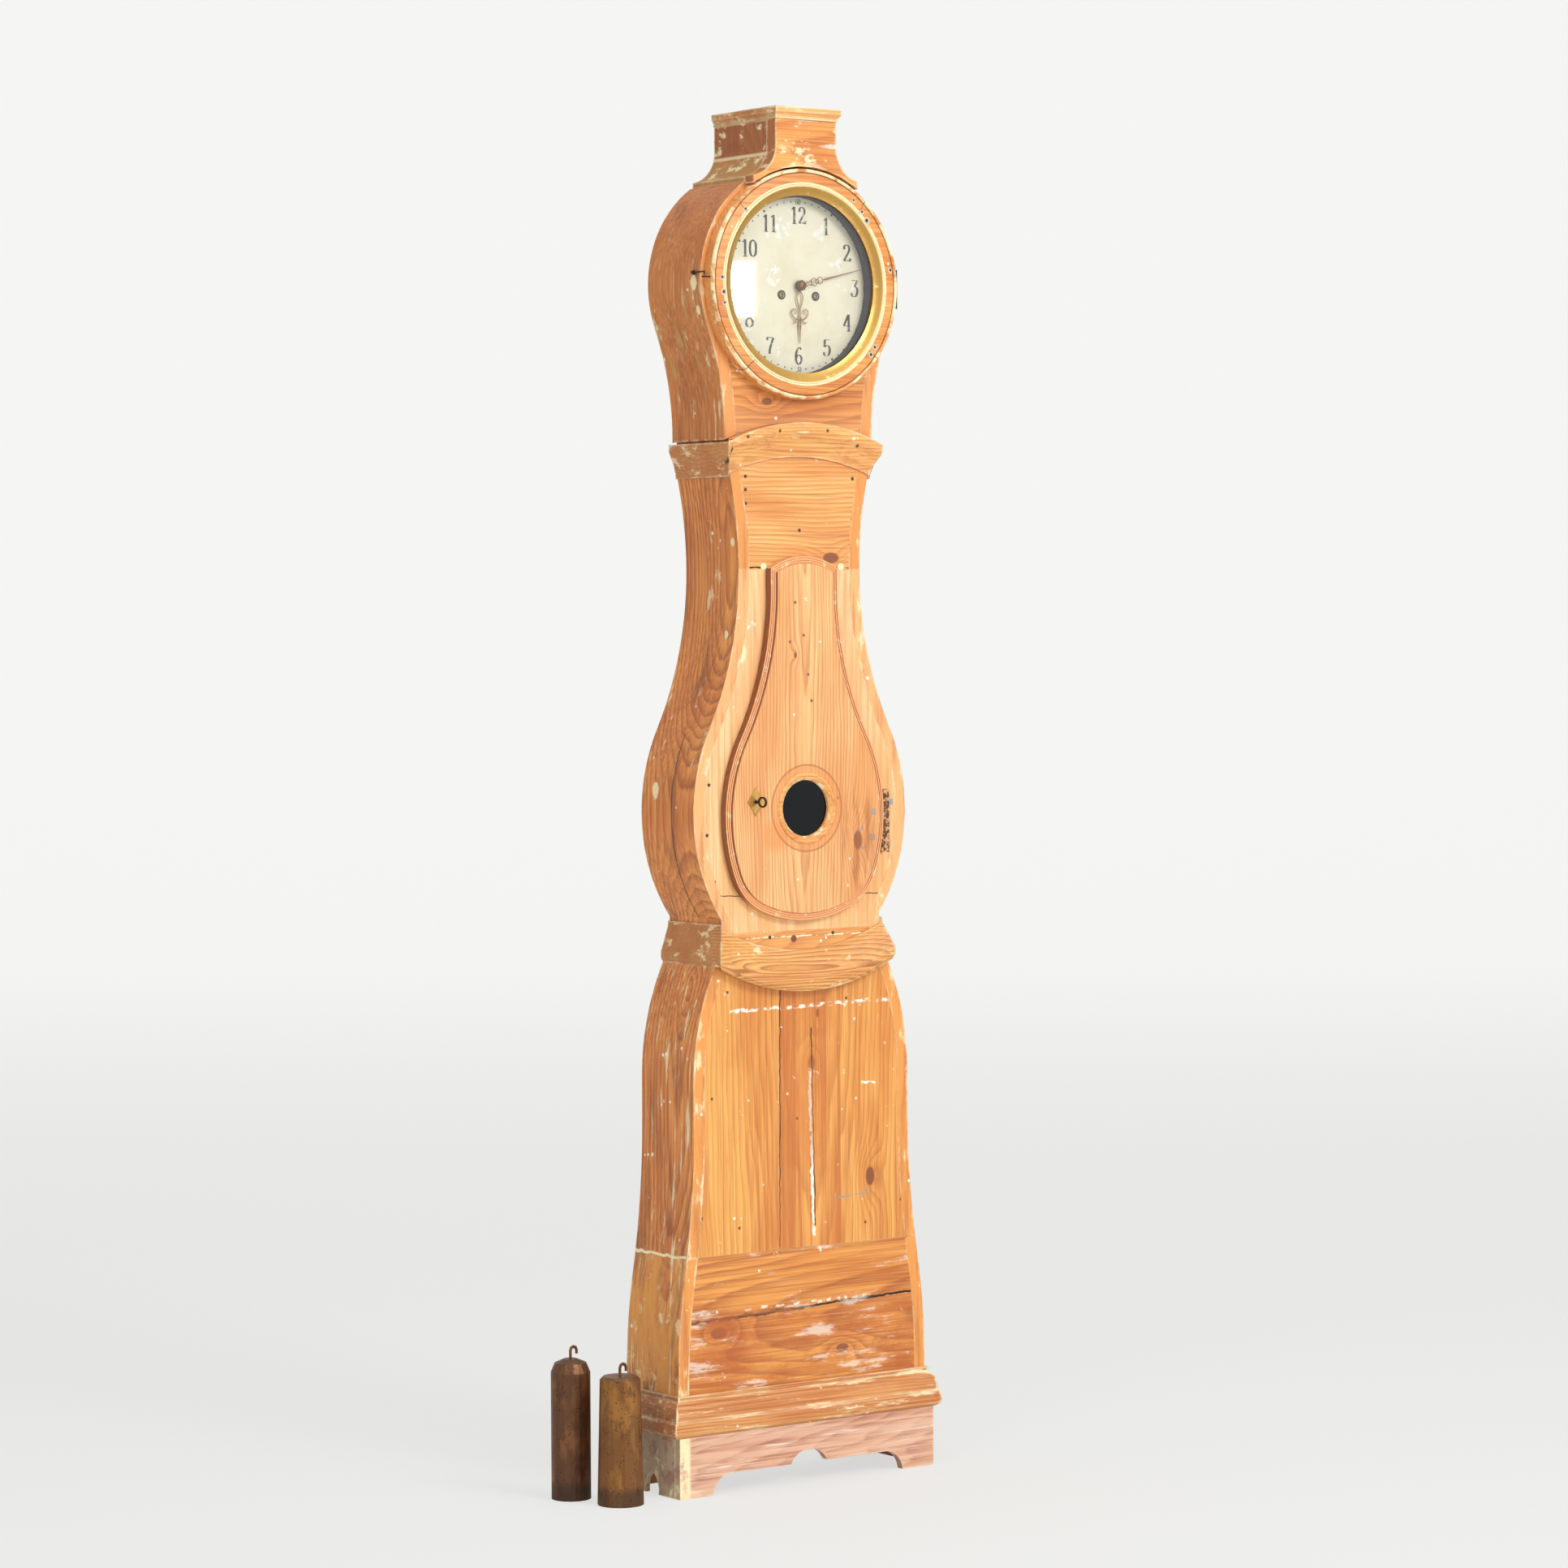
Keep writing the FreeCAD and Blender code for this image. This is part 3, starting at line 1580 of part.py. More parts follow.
def minute_hand():
    """The minute hand with its domed collet."""
    y = minute_hand_y()
    body = hand(minute_hand_length, minute_hand_width, minute_loop_share, minute_scroll_share, room_for(arbor_radius), y, minute_angle, False)
    radii = (hub_cap_radius, hub_cap_radius * hub_round_share, hub_cap_radius / 3)
    levels = (0, hub_cap_height * hub_round_share, hub_cap_height)
    dome = stacked(radii, levels, dome_sides, at(movement_x, movement_z, y), -Y_AXIS)
    return [body.fuse(dome)]


# Toothed wheels. Each is made about its own arbor, with a tooth pointing up, then turned and placed.
def leaf_root(teeth, module):
    """Radius between a pinion's leaves, which its arbor doesn't pass."""
    return module * (teeth / 2 - tooth_root)


def pinion(teeth, module, thick):
    """A pinion with flat-topped leaves."""
    pitch = 2 * math.pi / teeth
    root = leaf_root(teeth, module)
    tip = module * (teeth / 2 + tooth_tip)
    pitch_half = pitch * leaf_tooth_share / 2
    tip_half = pitch * leaf_tip_share / 2
    slope = (pitch_half - tip_half) / tooth_tip
    root_half = pitch_half + slope * tooth_root
    points = []
    for i in range(teeth):
        middle = i * pitch
        for radius, turn in ((root, -root_half), (tip, -tip_half), (tip, tip_half), (root, root_half)):
            angle = middle + turn
            points.append(at(radius * math.sin(angle), radius * math.cos(angle)))
    return boards(face_through(*points), 0, thick)


def wheel(teeth, module, thick):
    """A wheel with pointed teeth."""
    tip = module * (teeth / 2 + tooth_tip)
    root = module * (teeth / 2 - wheel_root)
    points = []
    for i in range(teeth):
        for radius, turn in ((tip, i), (root, i + 0.5)):
            angle = 2 * math.pi * turn / teeth
            points.append(at(radius * math.sin(angle), radius * math.cos(angle)))
    return boards(face_through(*points), 0, thick)


def set_on(shape, x, z, y, turn_deg):
    shape.rotate(V(0, 0, 0), Y_AXIS, turn_deg)
    shape.translate(V(x, y, z))
    return shape


def bearing(x0, z0, x1, z1):
    """Direction from one arbor to another, clockwise from upright, in degrees."""
    return math.degrees(math.atan2(x1 - x0, z1 - z0))


def meshed_turn(to_partner, teeth, tooth_on_line):
    """Turn of a wheel so that a tooth, or a gap, lies on the line to its partner."""
    return to_partner if tooth_on_line else to_partner + 180.0 / teeth


def arbor_places():
    """Where each arbor stands, from the movement's centre: x to the right, z up."""
    going = (-winding_x, -winding_drop)
    strike = (winding_x, -winding_drop)
    centre_third = centre_wheel_module * (centre_teeth + third_pinion_teeth) / 2
    third_escape = third_wheel_module * (third_teeth + escape_pinion_teeth) / 2
    third_z = (centre_third**2 - third_escape**2 + escape_rise**2) / (2 * escape_rise)
    third_x = -math.sqrt(centre_third**2 - third_z**2)
    motion = motion_module * (cannon_teeth + minute_teeth) / 2
    turn = math.radians(minute_wheel_angle)
    great = great_distance()
    pin_turn = math.radians(pin_wheel_angle)
    return {
        "going": going,
        "strike": strike,
        "centre": (0.0, 0.0),
        "third": (third_x, third_z),
        "escape": (0.0, escape_rise),
        "minute": (motion * math.sin(turn), motion * math.cos(turn)),
        "pin": (strike[0] + great * math.cos(pin_turn), strike[1] + great * math.sin(pin_turn)),
        "anchor": (0.0, anchor_rise()),
    }


def great_distance():
    """From a great wheel's arbor to its pinion's arbor."""
    return math.hypot(winding_x, winding_drop)


def great_module(wheel_teeth, pinion_teeth):
    return 2 * great_distance() / (wheel_teeth + pinion_teeth)


def anchor_rise():
    half_span = math.radians(anchor_span_teeth * 360.0 / escape_teeth / 2)
    return escape_rise + escape_radius / math.cos(half_span)


def back_plate_y():
    return front_plate_y + plate_thick + plate_spacing


def inner_front_y():
    return front_plate_y + plate_thick


def arbor(x, z, front_y, back_y, radius=arbor_radius):
    """A steel arbor between the plates, with a thin pivot at each end."""
    body = rod(radius, V(x, front_y + end_shake, z), V(x, back_y - end_shake, z))
    pivots = rod(pivot_radius, V(x, front_y - plate_thick, z), V(x, back_y + plate_thick, z))
    return body.fuse(pivots)


def layer_y(share):
    """A plane between the plates, by its share of the room there."""
    return inner_front_y() + plate_spacing * share


def pinion_y(share):
    """Front end of the pinion that runs with the wheel in the given layer."""
    return layer_y(share) + (wheel_thick - pinion_length) / 2


def placed(name):
    x, z = arbor_places()[name]
    return movement_x + x, movement_z + z


def movement_plates():
    """Front and back plate with their pivot holes."""
    low_x = movement_x - plate_half_width
    high_x = movement_x + plate_half_width
    low_z = movement_z - plate_bottom
    high_z = movement_z + plate_top
    plates = []
    for y in (front_plate_y, back_plate_y()):
        plate = block(low_x, high_x, y, y + plate_thick, low_z, high_z)
        front = y == front_plate_y
        for name in ("third", "escape", "pin", "anchor", "hammer"):
            x, z = placed(name) if name != "hammer" else hammer_place()
            hole = room_for(pivot_radius)
            if name == "anchor" and not front:
                hole = room_for(arbor_radius)
            plate = plate.cut(disc(hole, 3 * plate_thick, x, y - plate_thick, z))
        for name in ("going", "strike", "centre"):
            x, z = placed(name)
            hole = room_for(arbor_radius)
            plate = plate.cut(disc(hole, 3 * plate_thick, x, y - plate_thick, z))
        plates.append(plate)
    return plates


def movement_pillars():
    """Four pillars between the plates, the stud of the minute wheel, and the bell post."""
    pieces = []
    for x in (movement_x - plate_half_width + pillar_inset, movement_x + plate_half_width - pillar_inset):
        for z in (movement_z + plate_top - pillar_inset, movement_z - plate_bottom + pillar_inset):
            pieces.append(rod(pillar_radius, V(x, inner_front_y(), z), V(x, back_plate_y(), z)))
    x, z = placed("minute")
    pieces.append(rod(pivot_radius, V(x, motion_y() - pinion_length, z), V(x, front_plate_y, z)))
    return pieces


def motion_y():
    """Front face of the minute wheel and the cannon pinion, just before the front plate."""
    return front_plate_y - wheel_thick - 2 * end_shake


def hour_wheel_y():
    return motion_y() - wheel_thick - 2 * end_shake


def centre_arbor():
    """Centre wheel, its pinion and the long arbor that carries the minute hand, with the cannon pinion's pipe."""
    x, z = placed("centre")
    module = great_module(great_teeth, centre_pinion_teeth)
    body = rod(arbor_radius, V(x, minute_hand_y(), z), V(x, back_plate_y() + plate_thick, z))
    gx, gz = placed("going")
    turn = meshed_turn(bearing(x, z, gx, gz), centre_pinion_teeth, True)
    leaves = set_on(pinion(centre_pinion_teeth, module, pinion_length), x, z, pinion_y(great_layer_share), turn)
    tx, tz = placed("third")
    turn = meshed_turn(bearing(x, z, tx, tz), centre_teeth, False)
    centre_wheel = set_on(wheel(centre_teeth, centre_wheel_module, wheel_thick), x, z, layer_y(centre_layer_share), turn)
    mx, mz = placed("minute")
    turn = meshed_turn(bearing(x, z, mx, mz), cannon_teeth, False)
    cannon = set_on(pinion(cannon_teeth, motion_module, wheel_thick), x, z, motion_y(), turn)
    pipe = rod(cannon_pipe_radius(), V(x, minute_hand_y() + hand_thick, z), V(x, motion_y() + wheel_thick, z))
    return [body.fuse([leaves, centre_wheel, cannon, pipe])]


def hour_wheel():
    x, z = placed("centre")
    mx, mz = placed("minute")
    y = hour_wheel_y()
    turn = meshed_turn(bearing(x, z, mx, mz), hour_teeth, False)
    disc_wheel = set_on(wheel(hour_teeth, motion_module, wheel_thick), x, z, y, turn)
    pipe = rod(hour_pipe_radius(), V(x, hour_hand_y(), z), V(x, y + wheel_thick, z))
    bore = room_for(cannon_pipe_radius())
    return [disc_wheel.fuse(pipe).cut(rod(bore, V(x, hour_hand_y() - overrun, z), V(x, y + overrun, z)))]


def minute_wheel():
    x, z = placed("minute")
    cx, cz = placed("centre")
    y = motion_y()
    turn = meshed_turn(bearing(x, z, cx, cz), minute_teeth, True)
    big = set_on(wheel(minute_teeth, motion_module, wheel_thick), x, z, y, turn)
    turn = meshed_turn(bearing(x, z, cx, cz), minute_pinion_teeth, True)
    length = y - hour_wheel_y()
    small = small = set_on(pinion(minute_pinion_teeth, motion_module, length), x, z, hour_wheel_y(), turn)
    bore = rod(room_for(pivot_radius), V(x, y - overrun, z), V(x, y + overrun, z))
    return [big.fuse(small).cut(bore)]


def barrel_and_wheel(name, partner, teeth, pinion_teeth, layer):
    """A gut barrel on its arbor with a winding square in front and its great wheel."""
    x, z = placed(name)
    px, pz = placed(partner)
    module = great_module(teeth, pinion_teeth)
    turn = meshed_turn(bearing(x, z, px, pz), teeth, False)
    great = set_on(wheel(teeth, module, wheel_thick), x, z, layer_y(layer), turn)
    y = layer_y(barrel_layer_share)
    drum = rod(barrel_radius, V(x, y, z), V(x, y + barrel_length, z))
    shaft = rod(arbor_radius, V(x, inner_front_y() - plate_thick, z), V(x, back_plate_y() + plate_thick, z))
    half = winding_square / 2
    square = block(x - half, x + half, dial_front_y() + dial_thick / 2, inner_front_y() - plate_thick, z - half, z + half)
    return [great.fuse([drum, shaft, square])]


# Layers of the movement, by their share of the room between the plates
great_layer_share = 0.12
strike_layer_share = 0.24
barrel_layer_share = 0.30
centre_layer_share = 0.87
third_layer_share = 0.70
escape_layer_share = 0.615
pin_layer_share = 0.40


def going_barrel():
    return barrel_and_wheel("going", "centre", great_teeth, centre_pinion_teeth, great_layer_share)


def strike_barrel():
    return barrel_and_wheel("strike", "pin", strike_teeth, pin_pinion_teeth, strike_layer_share)


def third_wheel():
    x, z = placed("third")
    cx, cz = placed("centre")
    ex, ez = placed("escape")
    turn = meshed_turn(bearing(x, z, cx, cz), third_pinion_teeth, True)
    y = pinion_y(centre_layer_share)
    leaves = set_on(pinion(third_pinion_teeth, centre_wheel_module, pinion_length), x, z, y, turn)
    turn = meshed_turn(bearing(x, z, ex, ez), third_teeth, False)
    big = set_on(wheel(third_teeth, third_wheel_module, wheel_thick), x, z, layer_y(third_layer_share), turn)
    shaft = arbor(x, z, inner_front_y(), back_plate_y(), leaf_root(third_pinion_teeth, centre_wheel_module))
    return [shaft.fuse([leaves, big])]


def escape_wheel():
    """Thirty undercut teeth, whose tips lie on the escape circle."""
    x, z = placed("escape")
    pitch = 2 * math.pi / escape_teeth
    root = escape_radius - escape_tooth_depth
    points = []
    for i in range(escape_teeth):
        angle = (i + 0.5) * pitch
        for radius, share in ((root, -0.30), (escape_radius, 0.0), (root, 0.10)):
            turn = angle + pitch * share
            points.append(at(radius * math.sin(turn), radius * math.cos(turn)))
    rim = set_on(boards(face_through(*points), 0, wheel_thick), x, z, layer_y(escape_layer_share), 0)
    tx, tz = placed("third")
    turn = meshed_turn(bearing(x, z, tx, tz), escape_pinion_teeth, True)
    y = pinion_y(third_layer_share)
    leaves = set_on(pinion(escape_pinion_teeth, third_wheel_module, pinion_length), x, z, y, turn)
    shaft = arbor(x, z, inner_front_y(), back_plate_y(), leaf_root(escape_pinion_teeth, third_wheel_module))
    return [shaft.fuse([rim, leaves])]


def anchor():
    """Anchor with two pallets over the escape wheel, its arbor, and the crutch that drives the pendulum."""
    x, z = placed("anchor")
    ex, ez = placed("escape")
    y = layer_y(escape_layer_share) - (anchor_thick - wheel_thick) / 2
    half_span = math.radians(anchor_span_teeth * 360.0 / escape_teeth / 2)
    nib = 2 * math.pi * escape_radius / escape_teeth * pallet_width_share
    arm = anchor_arm_width
    pieces = []
    for side in (-1, 1):
        tip = V(ex + side * escape_radius * math.sin(half_span), y, ez + escape_radius * math.cos(half_span))
        out = V(side * math.sin(half_span), 0, math.cos(half_span))
        along = V(side * math.cos(half_span), 0, -math.sin(half_span))
        low = tip - out * pallet_dip
        high = tip + out * (arm * 1.4)
        pieces.append(
            Part.Face(
                Part.makePolygon(
                    [
                        low - along * nib / 2,
                        low + along * nib / 2,
                        high + along * nib / 2,
                        high - along * nib / 2,
                        low - along * nib / 2,
                    ]
                )
            ).extrude(V(0, anchor_thick, 0))
        )
        shoulder = high - out * arm / 2
        middle = V((x + shoulder.x) / 2, y, z + arm * 0.2)
        pieces.append(
            face_through(
                V(x, y, z + arm),
                V(shoulder.x + along.x * nib / 2, y, shoulder.z + arm / 2),
                V(shoulder.x - along.x * nib / 2, y, shoulder.z - arm / 2),
                V(x, y, z - arm / 2),
            ).extrude(V(0, anchor_thick, 0))
        )
    shaft = rod(arbor_radius, V(x, inner_front_y() + end_shake, z), V(x, crutch_y(), z))
    pivot = rod(pivot_radius, V(x, front_plate_y, z), V(x, inner_front_y() + end_shake, z))
    crutch_end = V(x, crutch_y(), z - crutch_length)
    stem = rod(crutch_wire_radius, V(x, crutch_y(), z), crutch_end)
    gap = pendulum_rod_width / 2 + crutch_fork_gap
    bar_half = gap + 2 * crutch_wire_radius
    bar = block(
        x - bar_half,
        x + bar_half,
        crutch_y() - crutch_wire_radius,
        crutch_y() + crutch_wire_radius,
        crutch_end.z - crutch_wire_radius,
        crutch_end.z + crutch_wire_radius,
    )
    prongs = [
        block(
            x + side * (gap + crutch_wire_radius) - crutch_wire_radius,
            x + side * (gap + crutch_wire_radius) + crutch_wire_radius,
            crutch_y(),
            crutch_y() + crutch_fork_length,
            crutch_end.z - crutch_wire_radius,
            crutch_end.z + crutch_wire_radius,
        )
        for side in (-1, 1)
    ]
    return [shaft.fuse(pieces + [pivot, stem, bar] + prongs)]


def crutch_y():
    """The crutch hangs between the back plate and the pendulum rod."""
    return back_plate_y() + plate_thick + 2 * crutch_wire_radius


def pendulum_cock():
    """Bracket on the back plate, slotted for the pendulum's suspension spring."""
    x, z = placed("anchor")
    back = back_plate_y() + plate_thick
    low = z
    high = z + cock_height
    far = pendulum_y + suspension_width
    bar = block(x - cock_width / 2, x + cock_width / 2, back, far, low + arbor_radius + 2 * end_shake, high)
    slot = block(
        x - cock_slot / 2,
        x + cock_slot / 2,
        pendulum_y - suspension_width / 2 - end_shake,
        far + overrun,
        low,
        high + overrun,
    )
    return [bar.cut(slot)]


def pendulum_rod():
    """Suspension spring with its top pin, the rod, and the rating nut that carries the bob."""
    x, z = placed("anchor")
    y = pendulum_y
    pin_z = z + cock_height + suspension_pin_radius + body_gap
    spring = block(
        x - suspension_thick / 2,
        x + suspension_thick / 2,
        y - suspension_width / 2,
        y + suspension_width / 2,
        z - suspension_length,
        pin_z,
    )
    pin = rod(suspension_pin_radius, V(x - cock_slot, y, pin_z), V(x + cock_slot, y, pin_z))
    tail = bob_z - bob_radius - rod_tail
    stick = pendulum_bar(tail, z - suspension_length)
    nut_top = bob_z - bob_radius
    nut = rod(rating_nut_radius, V(x, y, nut_top - rating_nut_height), V(x, y, nut_top))
    return [stick.fuse([spring, pin, nut])]


def pendulum_bar(low, high):
    """The flat iron rod of the pendulum between two heights."""
    x = placed("anchor")[0]
    half = pendulum_rod_width / 2
    deep = pendulum_rod_thick / 2
    return block(x - half, x + half, pendulum_y - deep, pendulum_y + deep, low, high)


def pendulum_bob():
    """A lens-shaped bob, pierced for the rod."""
    x = placed("anchor")[0]
    face = bob_radius * bob_face_share
    levels = (-bob_half_thick, 0, bob_half_thick)
    lens = stacked((face, bob_radius, face), levels, bob_sides, at(x, bob_z, pendulum_y), Y_AXIS)
    return [lens.cut(pendulum_bar(bob_z - 2 * bob_radius, bob_z + 2 * bob_radius))]


def movement_frame():
    return movement_plates() + movement_pillars() + pendulum_cock() + bell_stand()


# Strike
def pin_wheel():
    x, z = placed("pin")
    sx, sz = placed("strike")
    module = great_module(strike_teeth, pin_pinion_teeth)
    turn = meshed_turn(bearing(x, z, sx, sz), pin_pinion_teeth, True)
    y = pinion_y(strike_layer_share)
    leaves = set_on(pinion(pin_pinion_teeth, module, pinion_length), x, z, y, turn)
    face_y = layer_y(pin_layer_share)
    rim = disc(pin_wheel_radius, wheel_thick, x, face_y, z)
    pins = []
    for i in range(pin_wheel_pins):
        angle = 2 * math.pi * (i + 0.5) / pin_wheel_pins
        px = x + pin_wheel_pin_circle * math.sin(angle)
        pz = z + pin_wheel_pin_circle * math.cos(angle)
        pins.append(rod(pin_radius, V(px, face_y + wheel_thick, pz), V(px, face_y + wheel_thick + pin_length, pz)))
    return [arbor(x, z, inner_front_y(), back_plate_y()).fuse([leaves, rim] + pins)]


def hammer_place():
    return movement_x + hammer_arbor_x, movement_z + hammer_arbor_rise


def hammers():
    """Two levers with heads beside the bells, and a tail over the pins of the pin wheel."""
    x, z = hammer_place()
    y = layer_y(hammer_layer_share)
    shaft = arbor(x, z, inner_front_y(), back_plate_y())
    px, pz = placed("pin")
    reach = pin_wheel_pin_circle + pin_radius + hammer_rod_radius + hammer_tail_gap
    turn = math.radians(hammer_tail_angle)
    tail = rod(hammer_rod_radius, V(x, y, z), V(px + reach * math.sin(turn), y, pz + reach * math.cos(turn)))
    pieces = [tail]
    high = movement_z + bell_rise + bell_height / 2
    for side in (-1, 1):
        near = movement_x + side * bell_spacing / 2 + bell_radius + hammer_gap
        far = near + hammer_head_length
        pieces.append(rod(hammer_head_radius, V(near, y, high), V(far, y, high)))
        pieces.append(rod(hammer_rod_radius, V(x, y, z), V((near + far) / 2, y, high)))
    return [shaft.fuse(pieces)]


hammer_layer_share = 0.53
hammer_tail_angle = 40.0


def bell_stand():
    """A bridge over both plates with a post for each bell, and a shoulder on which the bell sits."""
    base = movement_z + plate_top
    y = layer_y(hammer_layer_share)
    half = bell_spacing / 2 + bell_post_radius
    stand = block(
        movement_x - half, movement_x + half, front_plate_y, back_plate_y() + plate_thick, base, base + plate_thick
    )
    top = movement_z + bell_rise + bell_height
    for x in bell_places():
        stand = stand.fuse(rod(2 * bell_post_radius, V(x, y, base), V(x, y, top - bell_wall)))
        stand = stand.fuse(rod(bell_post_radius, V(x, y, base), V(x, y, top + 2 * bell_wall)))
    half = bell_slot / 2
    middle = movement_x + bell_slot
    return [clean(stand).cut(block(middle - half, middle + half, y - half, y + half, base - plate_thick, top))]


def bell_places():
    return [movement_x + side * bell_spacing / 2 for side in (-1, 1)]


def bells():
    """Two cast bells, each bored for its post."""
    low = movement_z + bell_rise
    y = layer_y(hammer_layer_share)
    shoulder = bell_radius * bell_shoulder_share
    outer = (bell_radius, shoulder, 3 * bell_post_radius)
    inner = [radius - bell_wall for radius in outer]
    levels = (0, bell_height * bell_shoulder_share, bell_height)
    inside = [0] + [level - bell_wall for level in levels[1:]]
    pieces = []
    for x in bell_places():
        foot = V(x, y, low)
        shell = stacked(outer, levels, bell_sides, foot, Z_AXIS).cut(stacked(inner, inside, bell_sides, foot, Z_AXIS))
        pieces.append(shell.cut(rod(bell_post_radius, foot, foot + Z_AXIS * 2 * bell_height)))
    return pieces


# Seat of the movement
def seat_board():
    top = movement_z - plate_bottom
    board = block(-cheek_outer_x, cheek_outer_x, seat_front_y, seat_rear_y, top - seat_thick, top)
    for x, z in winding_places():
        y = layer_y(barrel_layer_share)
        board = board.cut(
            block(
                x - seat_slot_length / 2,
                x + seat_slot_length / 2,
                y,
                y + seat_slot_width,
                top - seat_thick - overrun,
                top + overrun,
            )
        )
    return [board]


def seat_cheeks():
    high = movement_z - plate_bottom - seat_thick
    cheek = block(cheek_outer_x - cheek_thick, cheek_outer_x, seat_front_y, -back_thick, cheek_bottom_z, high)
    return both(cheek)


# Weights
def weight_hook(x, y, top, toward):
    """A wire cast into a weight, which rises and bends over to one side."""
    rise = top + weight_hook_rise
    bend = weight_hook_bend * toward
    arch = bend_points(V(x + bend, y, rise), V(-bend, 0, 0), V(0, 0, weight_hook_bend), (0, 45, 90, 135, 180))
    return wire_along(weight_hook_radius, [V(x, y, top - weight_hook_rise)] + arch + [arch[-1] - V(0, 0, weight_hook_bend)])


def cast_weight(x, y, top, radii, levels):
    """A cast cylinder weight with its wire hook."""
    body = stacked(radii, levels, weight_sides, V(x, y, 0), Z_AXIS)
    return body.fuse(weight_hook(x, y, top, 1.0))


def round_weight():
    r = round_weight_radius
    top = round_weight_height
    shoulder = round_weight_shoulder
    radii = (r, r, r - shoulder * weight_round_share, r - shoulder)
    levels = (0, top - shoulder, top - shoulder * weight_round_share, top)
    return [cast_weight(round_weight_x, round_weight_y, top, radii, levels)]


def cone_weight():
    r = cone_weight_top_radius
    top = cone_weight_height
    e = cone_weight_round
    radii = (cone_weight_radius, r, r - e)
    return [cast_weight(cone_weight_x, cone_weight_y, top, radii, (0, top - e, top))]


parts = (
    plinth_front,
    plinth_sides,
    base_mouldings,
    lower_front_boards,
    lower_front_rails,
    lower_side_left,
    lower_side_right,
    floor_board,
    waist_mouldings,
    trunk_front_board,
    trunk_top_board,
    trunk_bottom_rail,
    trunk_side_left,
    trunk_side_right,
    neck_mouldings,
    back_boards,
    seat_cheeks,
    seat_board,
    hood_front,
    hood_side_left,
    hood_side_right,
    crown_front,
    crown_boards,
    cap,
    bezel_ring,
    gilt_ring,
    bezel_glass,
    bezel_hinge_leaves,
    bezel_hinge_straps,
    hook_latch,
    latch_staple,
    latch_eye,
    door_panel,
    lens_ring,
    lens_glass,
    escutcheon,
    lock_case,
    lock_bolt,
    key,
    door_hinge_leaves,
    door_hinge_straps,
    dial,
    hour_hand,
    minute_hand,
    movement_frame,
    centre_arbor,
    hour_wheel,
    minute_wheel,
    going_barrel,
    third_wheel,
    escape_wheel,
    anchor,
    pendulum_rod,
    pendulum_bob,
    strike_barrel,
    pin_wheel,
    hammers,
    bells,
    round_weight,
    cone_weight,
)

os.makedirs("parts", exist_ok=True)
for part in parts:
    pieces = part()
    shape = pieces[0] if len(pieces) == 1 else Part.makeCompound(pieces)
    shape.exportStep("parts/" + part.__name__ + ".step")
    print(part.__name__, len(shape.Solids), shape.isValid(), round(shape.Volume))
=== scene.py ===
import bpy
import math
from mathutils import Matrix, Vector, geometry


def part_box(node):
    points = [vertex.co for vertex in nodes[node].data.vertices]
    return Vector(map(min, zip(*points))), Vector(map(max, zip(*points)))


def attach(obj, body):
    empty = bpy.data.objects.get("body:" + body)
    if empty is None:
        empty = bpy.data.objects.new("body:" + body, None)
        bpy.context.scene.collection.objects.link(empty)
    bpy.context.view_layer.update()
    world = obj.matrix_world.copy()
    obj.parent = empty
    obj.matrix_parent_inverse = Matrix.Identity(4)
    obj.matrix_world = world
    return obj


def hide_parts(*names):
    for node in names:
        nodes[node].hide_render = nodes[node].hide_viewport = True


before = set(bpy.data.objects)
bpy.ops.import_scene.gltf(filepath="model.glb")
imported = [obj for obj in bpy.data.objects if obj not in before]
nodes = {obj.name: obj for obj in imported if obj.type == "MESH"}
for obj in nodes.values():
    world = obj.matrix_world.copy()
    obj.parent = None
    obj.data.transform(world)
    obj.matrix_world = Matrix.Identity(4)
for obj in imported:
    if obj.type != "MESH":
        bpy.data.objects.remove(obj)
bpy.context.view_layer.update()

# Sizes in metres, in the frame of the clock: X to the right, Y to the wall, Z up
FRONT_Y = -0.138
HEAD = Vector((0.0, 0.0, 1.8336))
MOVEMENT = Vector((0.01, 0.0, 1.8336))
LENS = Vector((0.0, 0.0, 1.036))
TOP_BOARD_Z = 1.399
SIDE_SEAM_Z = 0.361
END_FADE = 0.004


def tone(red, green, blue):
    """A colour as it looks on a screen, from 0 to 255, as the light values that a shader takes."""
    values = (red / 255, green / 255, blue / 255)
    return tuple(v / 12.92 if v <= 0.04045 else ((v + 0.055) / 1.055) ** 2.4 for v in values) + (1.0,)


def tones(*colours):
    return tuple(tone(*colour) for colour in colours)


class Val:
    """A number in a material's net. Sums with it add nodes."""

    def __init__(self, net, out):
        self.net = net
        self.out = out

    def __add__(self, other):
        return self.net.math("ADD", self, other)

    def __sub__(self, other):
        return self.net.math("SUBTRACT", self, other)

    def __rsub__(self, other):
        return self.net.math("SUBTRACT", other, self)

    def __mul__(self, other):
        return self.net.math("MULTIPLY", self, other)

    def __truediv__(self, other):
        return self.net.math("DIVIDE", self, other)

    def __pow__(self, other):
        return self.net.math("POWER", self, other)

    __radd__ = __add__
    __rmul__ = __mul__


